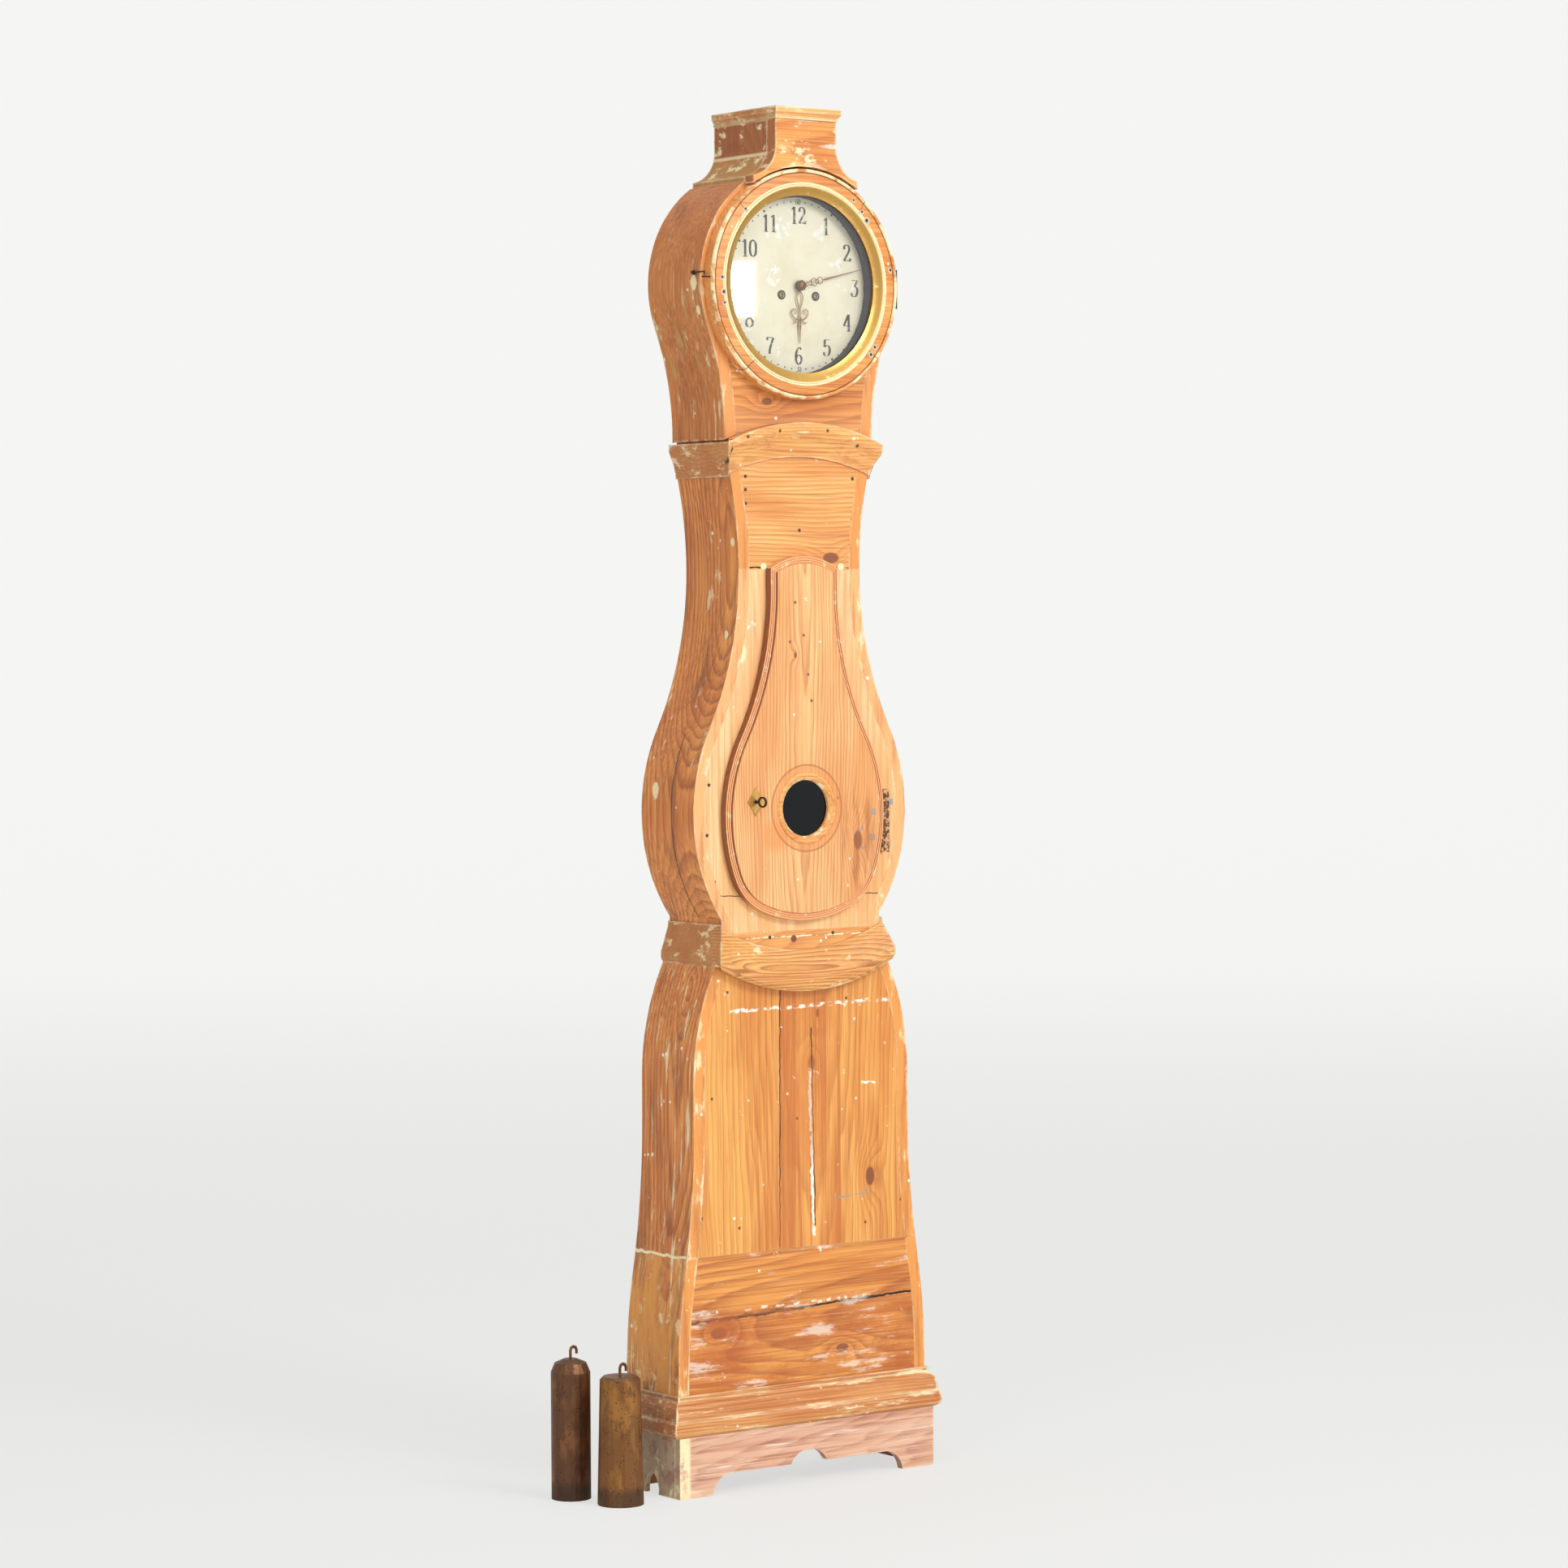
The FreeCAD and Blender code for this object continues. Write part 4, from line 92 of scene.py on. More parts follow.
class Net:
    """A material whose colour, height and roughness are built up in layers."""

    def __init__(self, name, colour, rough=0.5):
        self.mat = bpy.data.materials.new(name)
        self.mat.use_nodes = True
        self.tree = self.mat.node_tree
        self.bsdf = self.tree.nodes["Principled BSDF"]
        self.place = self.node("ShaderNodeTexCoord").outputs["Object"]
        split = self.node("ShaderNodeSeparateXYZ")
        self.put(split.inputs[0], self.place)
        self.x, self.y, self.z = (Val(self, out) for out in split.outputs)
        self.colour = colour
        self.rough = rough
        self.height = None
        self.mat.diffuse_color = colour

    def node(self, kind, **settings):
        made = self.tree.nodes.new(kind)
        for key, value in settings.items():
            setattr(made, key, value)
        return made

    def put(self, socket, value):
        if isinstance(value, Val):
            value = value.out
        if isinstance(value, bpy.types.NodeSocket):
            self.tree.links.new(value, socket)
        else:
            socket.default_value = value

    def math(self, operation, *values):
        made = self.node("ShaderNodeMath", operation=operation)
        for socket, value in zip(made.inputs, values):
            self.put(socket, value)
        return Val(self, made.outputs[0])

    def smooth(self, value, low, high):
        """0 below low, 1 above high, smooth between."""
        made = self.node("ShaderNodeMapRange", interpolation_type="SMOOTHSTEP")
        for index, given in enumerate((value, low, high)):
            self.put(made.inputs[index], given)
        return Val(self, made.outputs[0])

    def inside(self, value, limit, soft):
        """1 where the value is under the limit, 0 from the limit and soft on."""
        return 1.0 - self.smooth(value, limit, limit + soft)

    def near(self, value, half, soft):
        """1 where the value is nearer to 0 than half."""
        return self.inside(self.math("ABSOLUTE", value), half, soft)

    def moved(self, stretch, seed):
        """The place in the part, scaled by one number or by three, and moved by the seed."""
        made = self.node("ShaderNodeMapping")
        self.put(made.inputs["Vector"], self.place)
        made.inputs["Scale"].default_value = stretch if isinstance(stretch, tuple) else (stretch,) * 3
        made.inputs["Location"].default_value = (seed * 7.31, seed * 3.17, seed * 5.73)
        return made.outputs[0]

    def noise(self, stretch, detail, seed=0.0, rough=0.55):
        made = self.node("ShaderNodeTexNoise")
        self.put(made.inputs["Vector"], self.moved(stretch, seed))
        for key, value in (("Scale", 1.0), ("Detail", detail), ("Roughness", rough)):
            made.inputs[key].default_value = value
        return Val(self, made.outputs[0])

    def wander(self, stretch, detail, seed, by):
        """Noise around 0."""
        return (self.noise(stretch, detail, seed) - 0.5) * by

    def patchy(self, stretch, detail, seed, low, high, rough=0.55):
        """Patches of 1 where the noise is high."""
        return self.smooth(self.noise(stretch, detail, seed, rough), low, high)

    def cells(self, stretch, seed):
        """Distance to the nearest of many scattered points, in cell sizes."""
        made = self.node("ShaderNodeTexVoronoi")
        self.put(made.inputs["Vector"], self.moved(stretch, seed))
        made.inputs["Scale"].default_value = 1.0
        return Val(self, made.outputs["Distance"])

    def mix(self, share, first, second):
        made = self.node("ShaderNodeMix", data_type="RGBA")
        for index, given in ((0, share), (6, first), (7, second)):
            self.put(made.inputs[index], given)
        return made.outputs[2]

    def paint(self, mask, colour, rough=None, lift=0.0):
        """Lays a colour over what is there, where the mask says."""
        self.colour = self.mix(mask, self.colour, colour)
        if rough is not None:
            base = self.rough if isinstance(self.rough, Val) else self.math("ADD", self.rough, 0.0)
            self.rough = base + (rough - base) * mask
        if lift:
            self.raise_by(mask * lift)

    def raise_by(self, value):
        self.height = value if self.height is None else self.height + value

    def far_from(self, x, z, flat=1.0):
        """Distance from a point of the front. Flat scales the height."""
        return ((self.x - x) ** 2.0 + ((self.z - z) * flat) ** 2.0) ** 0.5

    def spot(self, x, z, radius, soft=0.001, flat=1.0):
        return self.inside(self.far_from(x, z, flat), radius, soft)

    def square(self, x, z, half):
        """1 in a square of the front."""
        far = self.math("MAXIMUM", self.math("ABSOLUTE", self.x - x), self.math("ABSOLUTE", self.z - z))
        return self.inside(far, half, 0.0006)

    def stroke(self, start, end, width, ragged, seed):
        """A line between two points of the front, in X and Z, that noise can make ragged."""
        run = Vector(end) - Vector(start)
        long = run.length
        ahead, aside = run / long, Vector((-run.y, run.x)) / long
        x, z = self.x - start[0], self.z - start[1]
        along = x * ahead.x + z * ahead.y
        off = x * aside.x + z * aside.y + self.wander(60, 2.0, seed, 2.5 * width)
        mask = self.near(off, width * 0.4, width * 0.6)
        mask = mask * self.smooth(along, 0.0, END_FADE) * self.inside(along, long - END_FADE, END_FADE)
        if ragged:
            mask = mask * self.patchy(90, 3.0, seed + 2, ragged - 0.08, ragged + 0.06)
        return mask

    def normal(self):
        return self.node("ShaderNodeNewGeometry").outputs["Normal"]

    def facing(self, axis, low=0.5, high=0.8):
        """1 on faces that look along an axis."""
        made = self.node("ShaderNodeVectorMath", operation="DOT_PRODUCT")
        self.put(made.inputs[0], self.normal())
        made.inputs[1].default_value = axis
        return self.smooth(Val(self, made.outputs["Value"]), low, high)

    def rounded(self, radius):
        made = self.node("ShaderNodeBevel", samples=4)
        made.inputs["Radius"].default_value = radius
        return made.outputs[0]

    def edges(self, radius):
        """1 on edges and corners that stand out or in."""
        made = self.node("ShaderNodeVectorMath", operation="DOT_PRODUCT")
        self.put(made.inputs[0], self.rounded(radius))
        self.put(made.inputs[1], self.normal())
        return self.smooth(1.0 - Val(self, made.outputs["Value"]), 0.01, 0.16)

    def finish(self, bump=0.5, round_edges=0.0012, metal=0.0):
        self.put(self.bsdf.inputs["Base Color"], self.colour)
        self.put(self.bsdf.inputs["Roughness"], self.rough)
        self.bsdf.inputs["Metallic"].default_value = metal
        normal = self.rounded(round_edges) if round_edges else None
        if self.height is not None:
            made = self.node("ShaderNodeBump")
            made.inputs["Strength"].default_value = bump
            made.inputs["Distance"].default_value = 0.001
            self.put(made.inputs["Height"], self.height)
            if normal:
                self.put(made.inputs["Normal"], normal)
            normal = made.outputs[0]
        if normal:
            self.put(self.bsdf.inputs["Normal"], normal)
        return self.mat


# Colours of the woods, each light, middle and dark
HONEY = tones((232, 172, 100), (212, 140, 70), (164, 86, 36))
AMBER = tones((230, 166, 82), (206, 130, 52), (156, 76, 24))
DEEP = tones((222, 150, 68), (198, 116, 42), (144, 66, 20))
ROSE = tones((234, 184, 124), (218, 152, 90), (168, 92, 44))
RED = tones((228, 148, 70), (202, 116, 50), (138, 62, 24))
PALE = tones((240, 200, 146), (226, 170, 108), (190, 118, 66))
OCHRE = tones((198, 120, 54), (178, 98, 38), (136, 70, 24))
WAIST_WOOD = tones((232, 172, 96), (212, 140, 66), (138, 68, 24))
BASE_WOOD = tones((214, 150, 84), (196, 120, 58), (138, 66, 28))
WASHED_WOOD = tones((214, 168, 138), (198, 142, 112), (146, 80, 62))
INSIDE_WOOD = tones((206, 162, 112), (178, 128, 78), (132, 84, 44))
HOOD_WOOD = tones((220, 150, 76), (200, 122, 54), (146, 74, 28))
CROWN_WOOD = tones((230, 156, 78), (208, 124, 50), (150, 74, 26))
RING_WOOD = tones((230, 158, 86), (208, 130, 60), (156, 82, 34))

# Colours of the front edges of the side boards, and of their lower ends
TRUNK_STRIP = tone(232, 170, 112)
LOWER_STRIP = tone(220, 146, 70)
HOOD_STRIP = tone(216, 146, 82)
BROWN_GOLD = tone(216, 146, 66)

# Colours of paint, filler and dirt; the soot colour also paints shade inside the opening round the dial
CREAM = tone(238, 222, 178)
CHALK = tone(240, 232, 216)
KHAKI = tone(184, 142, 78)
PINK = tone(226, 186, 160)
DARK = tone(70, 44, 26)
SOOT_AND_SHADE = tone(34, 26, 20)
FILLER = tone(196, 180, 160)
SLATE = tone(138, 146, 146)


def grained(level, along, across):
    """Scales of a noise along the grain and across it. The grain is level or upright."""
    return (along, across, across) if level else (across, across, along)


def pine(name, grain, pith, tilt, pitch, woods, seed, knots=(), lines=0.55, rough=0.5, streaks=0.45):
    """Old pine. The grain is upright (z), level (x), or upright on a side board (side).

    The pith's line runs pith[1] behind the face, and tilts along the grain. Knots are places with a radius.
    """
    net = Net(name, woods[0], rough)
    axes = {"z": (net.z, net.x, net.y), "x": (net.x, net.z, net.y), "side": (net.z, net.y, net.x)}
    along, across, deep = axes[grain]
    level = grain == "x"
    slow = grained(level, 1.6, 9)
    off = across - pith[0] + net.wander(slow, 2.0, seed, 0.05)
    under = deep - pith[1] + (along - pith[2]) * tilt
    ring = (off ** 2.0 + under ** 2.0) ** 0.5 + net.wander(grained(level, 8.0, 45), 2.0, seed + 1, 0.006)
    heart = 0.0
    for a, b, radius in knots:
        far = (((along - a) * 0.55) ** 2.0 + (across - b) ** 2.0) ** 0.5
        swell = net.math("EXPONENT", (far / (2.6 * radius)) ** 2.0 * -1.0)
        ring = ring + swell * (2.2 * radius)
        heart = net.math("MAXIMUM", heart, net.inside(far, 0.75 * radius, 0.3 * radius))
        net.paint(net.inside(far, radius, 2.2 * radius) * 0.6, woods[1])
    part = net.math("FRACT", ring / pitch)
    late = part ** 1.8 * net.inside(part, 0.84, 0.16)
    band = net.noise(grained(level, 2.0, 230.0), 4.0, seed + 7, 0.65)
    fibre = net.noise(grained(level, 7, 420), 3.0, seed + 2, 0.6)
    net.paint(net.patchy(grained(level, 3.52, 19.8), 3.0, seed + 3, 0.34, 0.68), woods[1])
    net.paint(net.smooth(band, 0.5, 0.66) * streaks, woods[2])
    net.paint(net.smooth(1.0 - band, 0.5, 0.66) * streaks * 0.8, woods[0])
    net.paint(late * lines * net.patchy(slow, 2.0, seed + 5, 0.15, 0.5), woods[2])
    net.paint(net.smooth(fibre, 0.5, 0.78) * 0.35, woods[2])
    net.paint(net.smooth(1.0 - fibre, 0.5, 0.74) * 0.25, PALE[0])
    if knots:
        net.paint(heart * 0.9, tone(116, 62, 32))
    net.raise_by(fibre * 0.25 - late * 0.2)
    return net


def nails(net, places, size=0.0022, colour=DARK):
    for x, z in places:
        net.paint(net.spot(x, z, size, 0.0012), colour, 0.7, -0.6)


def filled_holes(net, places):
    """Nail holes in a smear of filler: X, Z and size."""
    for x, z, size in places:
        net.paint(net.spot(x, z, size * 1.3), FILLER, 0.8, 0.4)
        net.paint(net.spot(x, z + 0.0005, size * 0.6), DARK, 0.7, -0.4)


def squares(net, half, rough, places):
    """Small squares of slate paint."""
    for x, z in places:
        net.paint(net.square(x, z, half), SLATE, rough, 0.5)


def strokes(net, *lines):
    """Lines of paint and open joints: two ends, width, raggedness, seed, colour, roughness and height."""
    for start, end, width, ragged, seed, colour, rough, lift in lines:
        net.paint(net.stroke(start, end, width, ragged, seed), colour, rough, lift)


def cracks(net, width, colour, *lines):
    strokes(net, *[(start, end, width, 0.0, 1.0, colour, 0.8, -0.6) for start, end in lines])


def specks(net, colour, size, fine, share, seed):
    """Small chips of old paint or filler."""
    chip = net.inside(net.cells(fine, seed), size, 0.08)
    chosen = net.patchy(fine * 0.33, 2.0, seed + 1, share - 0.12, share - 0.06)
    net.paint(chip * chosen * 0.9, colour, 0.75, 0.3)


def worn(net, colour, stretch, low, high, seed, strength, by_edge=0.0, rough=0.7, lift=0.35, within=None):
    """Remains of paint, in patches, more of them on the edges."""
    field = net.noise(stretch, 6.0, seed, 0.68)
    if by_edge:
        field = field + net.edges(0.006) * by_edge
    mask = net.smooth(field, low, high) * strength
    if within is not None:
        mask = mask * within
    net.paint(mask, colour, rough, lift)


def stain(net, colour, stretch, low, high, seed, strength, rough=0.5, within=None):
    """Remains of varnish or dirt, which have no height."""
    worn(net, colour, stretch, low, high, seed, strength, 0.0, rough, 0.0, within)


def piece(name, points, faces, material, body, slot, smooth=40.0):
    mesh = bpy.data.meshes.new(name)
    mesh.from_pydata([tuple(p) for p in points], [], faces)
    mesh.validate()
    mesh.materials.append(material)
    if smooth:
        mesh.polygons.foreach_set("use_smooth", [True] * len(mesh.polygons))
        mesh.set_sharp_from_angle(angle=math.radians(smooth))
    made = bpy.data.objects.new(name, mesh)
    bpy.context.scene.collection.objects.link(made)
    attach(made, body)
    return made


def lathe(profile, centre, count, closed=True, wobble=None):
    """Points and faces of a profile, in radius and Y, turned about a line along Y."""
    points, faces = [], []
    size = len(profile)
    for i in range(count):
        turn = 2 * math.pi * i / count
        for j, (radius, y) in enumerate(profile):
            r = radius * (wobble(turn, j) if wobble else 1.0)
            points.append((centre.x + r * math.sin(turn), y, centre.z + r * math.cos(turn)))
    for i in range(count):
        here, there = i * size, (i + 1) % count * size
        for j in range(size if closed else size - 1):
            k = (j + 1) % size
            faces.append((here + j, here + k, there + k, there + j))
    return points, faces


def section(front, back, inner, steps):
    """A turned ring's profile: flat at the back, and with steps of radius and depth from the front."""
    return [(inner, back), (steps[0][0], back)] + [(radius, front + depth) for radius, depth in steps]


def spline(points, steps=6, closed=False):
    """Points on a smooth curve through the points."""
    count = len(points)
    if closed:
        ends = [points[i % count] for i in range(-1, count + 2)]
    else:
        ends = [points[0] * 2 - points[1]] + list(points) + [points[-1] * 2 - points[-2]]
    curve = []
    for i in range(1, len(ends) - 2):
        a, b, c, d = ends[i - 1:i + 3]
        for s in range(steps):
            t = s / steps
            bend = (a * 2 - b * 5 + c * 4 - d) * t * t
            twist = (b * 3 - a - c * 3 + d) * t ** 3
            curve.append((b * 2 + (c - a) * t + bend + twist) / 2)
    if not closed:
        curve.append(points[-1])
    return curve


def strip(path, widths, y0, y1, sides=0, closed=False):
    """A flat bar in the XZ plane along a path. With sides it is round in section."""
    points, faces = [], []
    count = len(path)
    ring = sides or 4
    for i, p in enumerate(path):
        before = path[i - 1] if i or closed else p
        after = path[(i + 1) % count] if i < count - 1 or closed else p
        ahead = (after - before).normalized()
        aside = Vector((ahead.y, -ahead.x))
        half = widths(i / (count - 1), ahead) / 2
        middle, deep = (y0 + y1) / 2, (y1 - y0) / 2
        for k in range(ring):
            turn = 2 * math.pi * (k + 0.5) / ring
            out, back = math.cos(turn), math.sin(turn)
            if not sides:
                out, back = math.copysign(1, out), math.copysign(1, back)
            points.append((p.x + aside.x * half * out, middle + deep * back, p.y + aside.y * half * out))
    spans = count if closed else count - 1
    for i in range(spans):
        here, there = i * ring, (i + 1) % count * ring
        for k in range(ring):
            n = (k + 1) % ring
            faces.append((here + k, here + n, there + n, there + k))
    if not closed:
        faces.append(tuple(range(ring - 1, -1, -1)))
        faces.append(tuple((count - 1) * ring + k for k in range(ring)))
    return points, faces


def joined(*parts):
    points, faces = [], []
    for some_points, some_faces in parts:
        base = len(points)
        points += some_points
        faces += [tuple(base + i for i in face) for face in some_faces]
    return points, faces


def placed(part, turn, centre):
    """A part drawn upwards from 0 in XZ, turned clockwise by degrees and set at the centre."""
    c, s = math.cos(math.radians(turn)), math.sin(math.radians(turn))
    return [(centre.x + x * c + z * s, y, centre.z - x * s + z * c) for x, y, z in part[0]], part[1]


def dress(material, *names):
    for name in names:
        node = nodes[name]
        node.data.materials.clear()
        node.data.materials.append(material)


def front_marks(net, seed):
    """What all boards of the front have: chips, pale edges and chalk."""
    specks(net, CHALK, 0.1, 60, 0.74, seed)
    net.paint(net.edges(0.003) * 0.25, PALE[0], 0.6)
    worn(net, CHALK, 26, 0.66, 0.72, seed + 3, 0.75)


# Front boards of the trunk
top_board = pine("pine_top_board", "x", (1.2, 0.02, -0.1), 0.06, 0.006, HONEY, 2.0,
                 [(0.06, 1.4185, 0.009), (-0.02, 1.585, 0.005)], 0.75)
nails(top_board, [(-0.101, 1.541), (-0.101, 1.521), (-0.101, 1.5), (-0.1, 1.457),
                  (0.102, 1.54), (0.101, 1.478), (0.101, 1.43), (0.0, 1.46)])
strokes(top_board, ((-0.1, 1.403), (0.1, 1.403), 0.0016, 0.46, 4.0, SOOT_AND_SHADE, 0.85, -0.6))
for side_x in (-0.0676, 0.0789):
    top_board.paint(top_board.spot(side_x, 1.4045, 0.0045, 0.002), CREAM, 0.8, 0.3)
front_marks(top_board, 3.0)
dress(top_board.finish(), "trunk_top_board")

stiles = pine("pine_stiles", "z", (0.02, 0.03, 1.3), 0.05, 0.008, PALE, 5.0, [(-0.105, 1.28, 0.004)], 0.4)
nails(stiles, [(-0.103, 1.367), (-0.12, 1.255), (-0.172, 1.075), (-0.176, 0.999), (-0.163, 0.928),
               (0.174, 1.12), (0.13, 1.28)])
stiles.paint(stiles.spot(-0.1105, 1.274, 0.007, 0.004, 0.6), CREAM, 0.8, 0.2)
cracks(stiles, 0.001, DARK, ((-0.156, 0.907), (-0.11, 0.905)), ((0.121, 0.901), (0.169, 0.899)))
squares(stiles, 0.0045, 0.5, [(0.173, 1.041), (0.167, 1.01), (0.168, 0.977)])
front_marks(stiles, 6.0)
stain(stiles, tone(226, 160, 110), (14, 14, 5), 0.5, 0.7, 8.0, 0.6, 0.55)
dress(stiles.finish(), "trunk_front_board")

rail = pine("pine_bottom_rail", "x", (0.8, 0.03, 0.0), 0.1, 0.006, HONEY, 7.0)
strokes(rail, ((-0.105, 0.84), (0.12, 0.8395), 0.0016, 0.48, 3.0, CREAM, 0.8, 0.4))
nails(rail, [(-0.11, 0.82), (0.11, 0.82), (-0.06, 0.84), (0.06, 0.842)])
rail.paint(rail.spot(-0.0148, 0.836, 0.0045, 0.002), tone(120, 62, 28), 0.35, 0.3)
front_marks(rail, 4.0)
dress(rail.finish(), "trunk_bottom_rail")

# Front boards of the lower case: upright ones over level ones
lower = pine("pine_lower_boards", "z", (0.016, 0.012, 0.7), 0.035, 0.0064, AMBER, 9.0,
             [(0.643, 0.018, 0.007), (0.461, 0.1296, 0.009), (0.72, 0.03, 0.004)], 0.6, 0.5, 0.35)
middle_board = lower.near(lower.x - 0.0155, 0.057, 0.0015)
stain(lower, tone(176, 92, 34), (120, 120, 2.2), 0.46, 0.6, 17.0, 0.75, 0.5, middle_board)
lower.paint(middle_board * 0.18, tone(190, 108, 40))
strokes(lower,
        ((-0.138, 0.7302), (0.176, 0.7347), 0.0036, 0.5, 2.0, CHALK, 0.85, 0.3),
        ((0.014, 0.637), (0.0205, 0.375), 0.0036, 0.38, 5.0, CHALK, 0.85, 0.2),
        ((0.0172, 0.7), (0.0236, 0.39), 0.0016, 0.34, 6.0, DARK, 0.85, -0.8),
        ((-0.0415, 0.79), (-0.044, 0.362), 0.0014, 0.0, 1.0, DARK, 0.85, -0.8),
        ((0.06, 0.432), (0.14, 0.437), 0.0016, 0.5, 7.0, SLATE, 0.8, 0.0),
        ((0.1116, 0.6071), (0.144, 0.6051), 0.003, 0.4, 8.0, CHALK, 0.8, 0.0))
nails(lower, [(-0.14, 0.76), (-0.17, 0.6), (-0.01, 0.56), (-0.19, 0.42), (0.19, 0.42), (-0.12, 0.4),
              (0.12, 0.39), (0.085, 0.74)], 0.0018, tone(112, 68, 40))
front_marks(lower, 11.0)
stain(lower, tone(190, 108, 44), (10, 10, 3), 0.52, 0.72, 12.0, 0.6)
dress(lower.finish(), "lower_front_boards")

rails = pine("pine_lower_rails", "x", (0.25, 0.018, -0.05), 0.05, 0.008, DEEP, 13.0,
             [(-0.1593, 0.243, 0.009), (0.0744, 0.1992, 0.007)], 0.85)
strokes(rails,
        ((-0.219, 0.261), (0.004, 0.2692), 0.0038, 0.0, 4.0, SOOT_AND_SHADE, 0.9, -1.5),
        ((0.0, 0.2691), (0.229, 0.276), 0.0024, 0.0, 9.0, SOOT_AND_SHADE, 0.9, -1.5),
        ((-0.2, 0.274), (0.15, 0.277), 0.003, 0.6, 5.0, CHALK, 0.85, 0.2))
lower_rail = rails.inside(rails.z, 0.262, 0.02)
stain(rails, tone(170, 84, 28), (6, 14, 14), 0.44, 0.62, 15.0, 0.75, 0.5, lower_rail)
worn(rails, CHALK, (8, 30, 40), 0.56, 0.66, 16.0, 0.5)
front_marks(rails, 14.0)
dress(rails.finish(), "lower_front_rails")


def side_board(part, hand, seed, pith, khaki, top, streak, strip_tone, above=None, woods=RED, lines=0.9,
               low=None, patches=(), crack=None):
    """A side board: bare and worn on its broad face, painted khaki and cream in streaks up to a height.

    The strip is its front edge, which has the tone above from the top board on. Low is the tone under
    the seam. Patches are places in Y and Z with a radius, worn to cream. The crack has a Y and two heights.
    """
    net = pine("side_%s_%s" % (part, hand), "side", pith, 0.03, 0.008, woods, seed, lines=lines)
    edge = net.facing((0, -1, 0))
    broad = 1.0 - edge
    painted = net.inside(net.z, top, 0.1) * broad
    if low:
        below = net.inside(net.z, SIDE_SEAM_Z, 0.004) * broad
        foot = net.inside(net.z, 0.19, 0.03) * broad
        worn(net, low, (9, 9, 4), 0.36, 0.5, seed + 11, 0.85, rough=0.55, lift=0.1, within=below)
        stain(net, tone(146, 76, 34), (16, 16, 9), 0.5, 0.6, seed + 17, 0.85, 0.55, foot)
        worn(net, CREAM, 24, 0.56, 0.63, seed + 18, 0.6, lift=0.3, within=below)
    start, reach = 0.62 - 0.2 * khaki, 0.72 - 0.2 * khaki
    worn(net, KHAKI, (55, 55, 3.5), start, reach, seed + 1, 0.8, 0.0, 0.55, 0.2, painted)
    start, reach = 0.68 - 0.12 * streak, 0.76 - 0.12 * streak
    worn(net, CREAM, (75, 75, 5), start, reach, seed + 4, 0.7, 0.1, 0.75, 0.4, painted)
    worn(net, CREAM, (30, 30, 12), 0.62, 0.7, seed + 5, 0.6, 0.12, 0.75, 0.4, broad)
    stain(net, tone(122, 66, 34), (26, 26, 3), 0.52, 0.68, seed + 6, 0.6, 0.55, broad)
    if low:
        seam = net.near(net.z - SIDE_SEAM_Z + net.wander(50, 3.0, seed + 14, 0.01), 0.0012, 0.0016)
        net.paint(seam * net.patchy(30, 3.0, seed + 15, 0.36, 0.46) * broad, CREAM, 0.8, -0.4)
    if crack:
        crack_y, low_z, high_z = crack
        length = net.smooth(net.z, low_z, low_z + END_FADE) * net.inside(net.z, high_z, END_FADE)
        split = net.near(net.y - crack_y + net.wander(30, 3.0, seed + 16, 0.006), 0.0009, 0.0012)
        net.paint(split * length * broad * 0.8, tone(84, 60, 34), 0.8, -0.6)
    for y, z, radius in patches:
        far = ((net.y - y) ** 2.0 + ((net.z - z) * 0.7) ** 2.0) ** 0.5
        far = far + net.wander(60, 3.0, seed + 12, 1.4 * radius)
        net.paint(net.inside(far, radius * 0.7, radius * 0.3) * broad * 0.85, CREAM, 0.75, 0.3)
    if above:
        strip_tone = net.mix(net.smooth(net.z, TOP_BOARD_Z, TOP_BOARD_Z + 0.004), strip_tone, above)
    net.paint(edge * 0.92, strip_tone, 0.6)
    stain(net, tone(176, 104, 56), (90, 90, 6), 0.48, 0.64, seed + 7, 0.6, 0.6, edge)
    worn(net, CREAM, (40, 40, 14), 0.56, 0.66, seed + 8, 0.8, 0.1, 0.75, 0.3, edge)
    specks(net, CHALK, 0.12, 55, 0.7, seed + 9)
    net.paint(net.edges(0.0018) * net.patchy(40, 3.0, seed + 10, 0.48, 0.58) * 0.7, CREAM, 0.7)
    net.paint(net.edges(0.0018) * net.patchy(40, 3.0, seed + 13, 0.52, 0.6) * 0.7, tone(74, 66, 40), 0.7)
    dress(net.finish(), "%s_side_%s" % (part, hand))


ALL_OVER = 9.0
side_board("trunk", "left", 21.0, (-0.115, -0.085, 1.0), 0.0, ALL_OVER, 0.0, TRUNK_STRIP, HONEY[1],
           patches=[(-0.035, 1.065, 0.01), (-0.125, 1.44, 0.006), (-0.118, 1.3, 0.006)],
           crack=(-0.08, 0.87, 1.15))
side_board("trunk", "right", 24.0, (-0.095, 0.085, 1.0), 0.0, ALL_OVER, 0.1, TRUNK_STRIP, HONEY[1])
side_board("lower", "left", 27.0, (-0.089, -0.17, 0.5), 0.22, ALL_OVER, 0.95, LOWER_STRIP, low=BROWN_GOLD)
side_board("lower", "right", 30.0, (-0.07, 0.17, 0.5), 0.2, ALL_OVER, 0.8, LOWER_STRIP, low=BROWN_GOLD)
side_board("hood", "left", 33.0, (-0.06, -0.4, 1.8), 0.5, 1.8, 0.9, HOOD_STRIP, woods=OCHRE, lines=0.25,
           patches=[(-0.12, 1.833, 0.009), (-0.125, 1.79, 0.006)])
side_board("hood", "right", 36.0, (-0.06, 0.4, 1.8), 0.4, 1.8, 0.8, HOOD_STRIP, woods=OCHRE, lines=0.25)


def shaded_left(net, seed, colour=tone(150, 80, 38), share=0.5):
    """Painted shade: the left ends of mouldings, which look left, are darker, with cream left in the corners.
    """
    # Painted shade on the faces that look left
    left = net.facing((-1, 0, 0), 0.35, 0.65)
    net.paint(left * share, colour, 0.55)
    worn(net, CREAM, (50, 30, 60), 0.56, 0.64, seed, 0.7, 0.14, 0.75, 0.3, left)


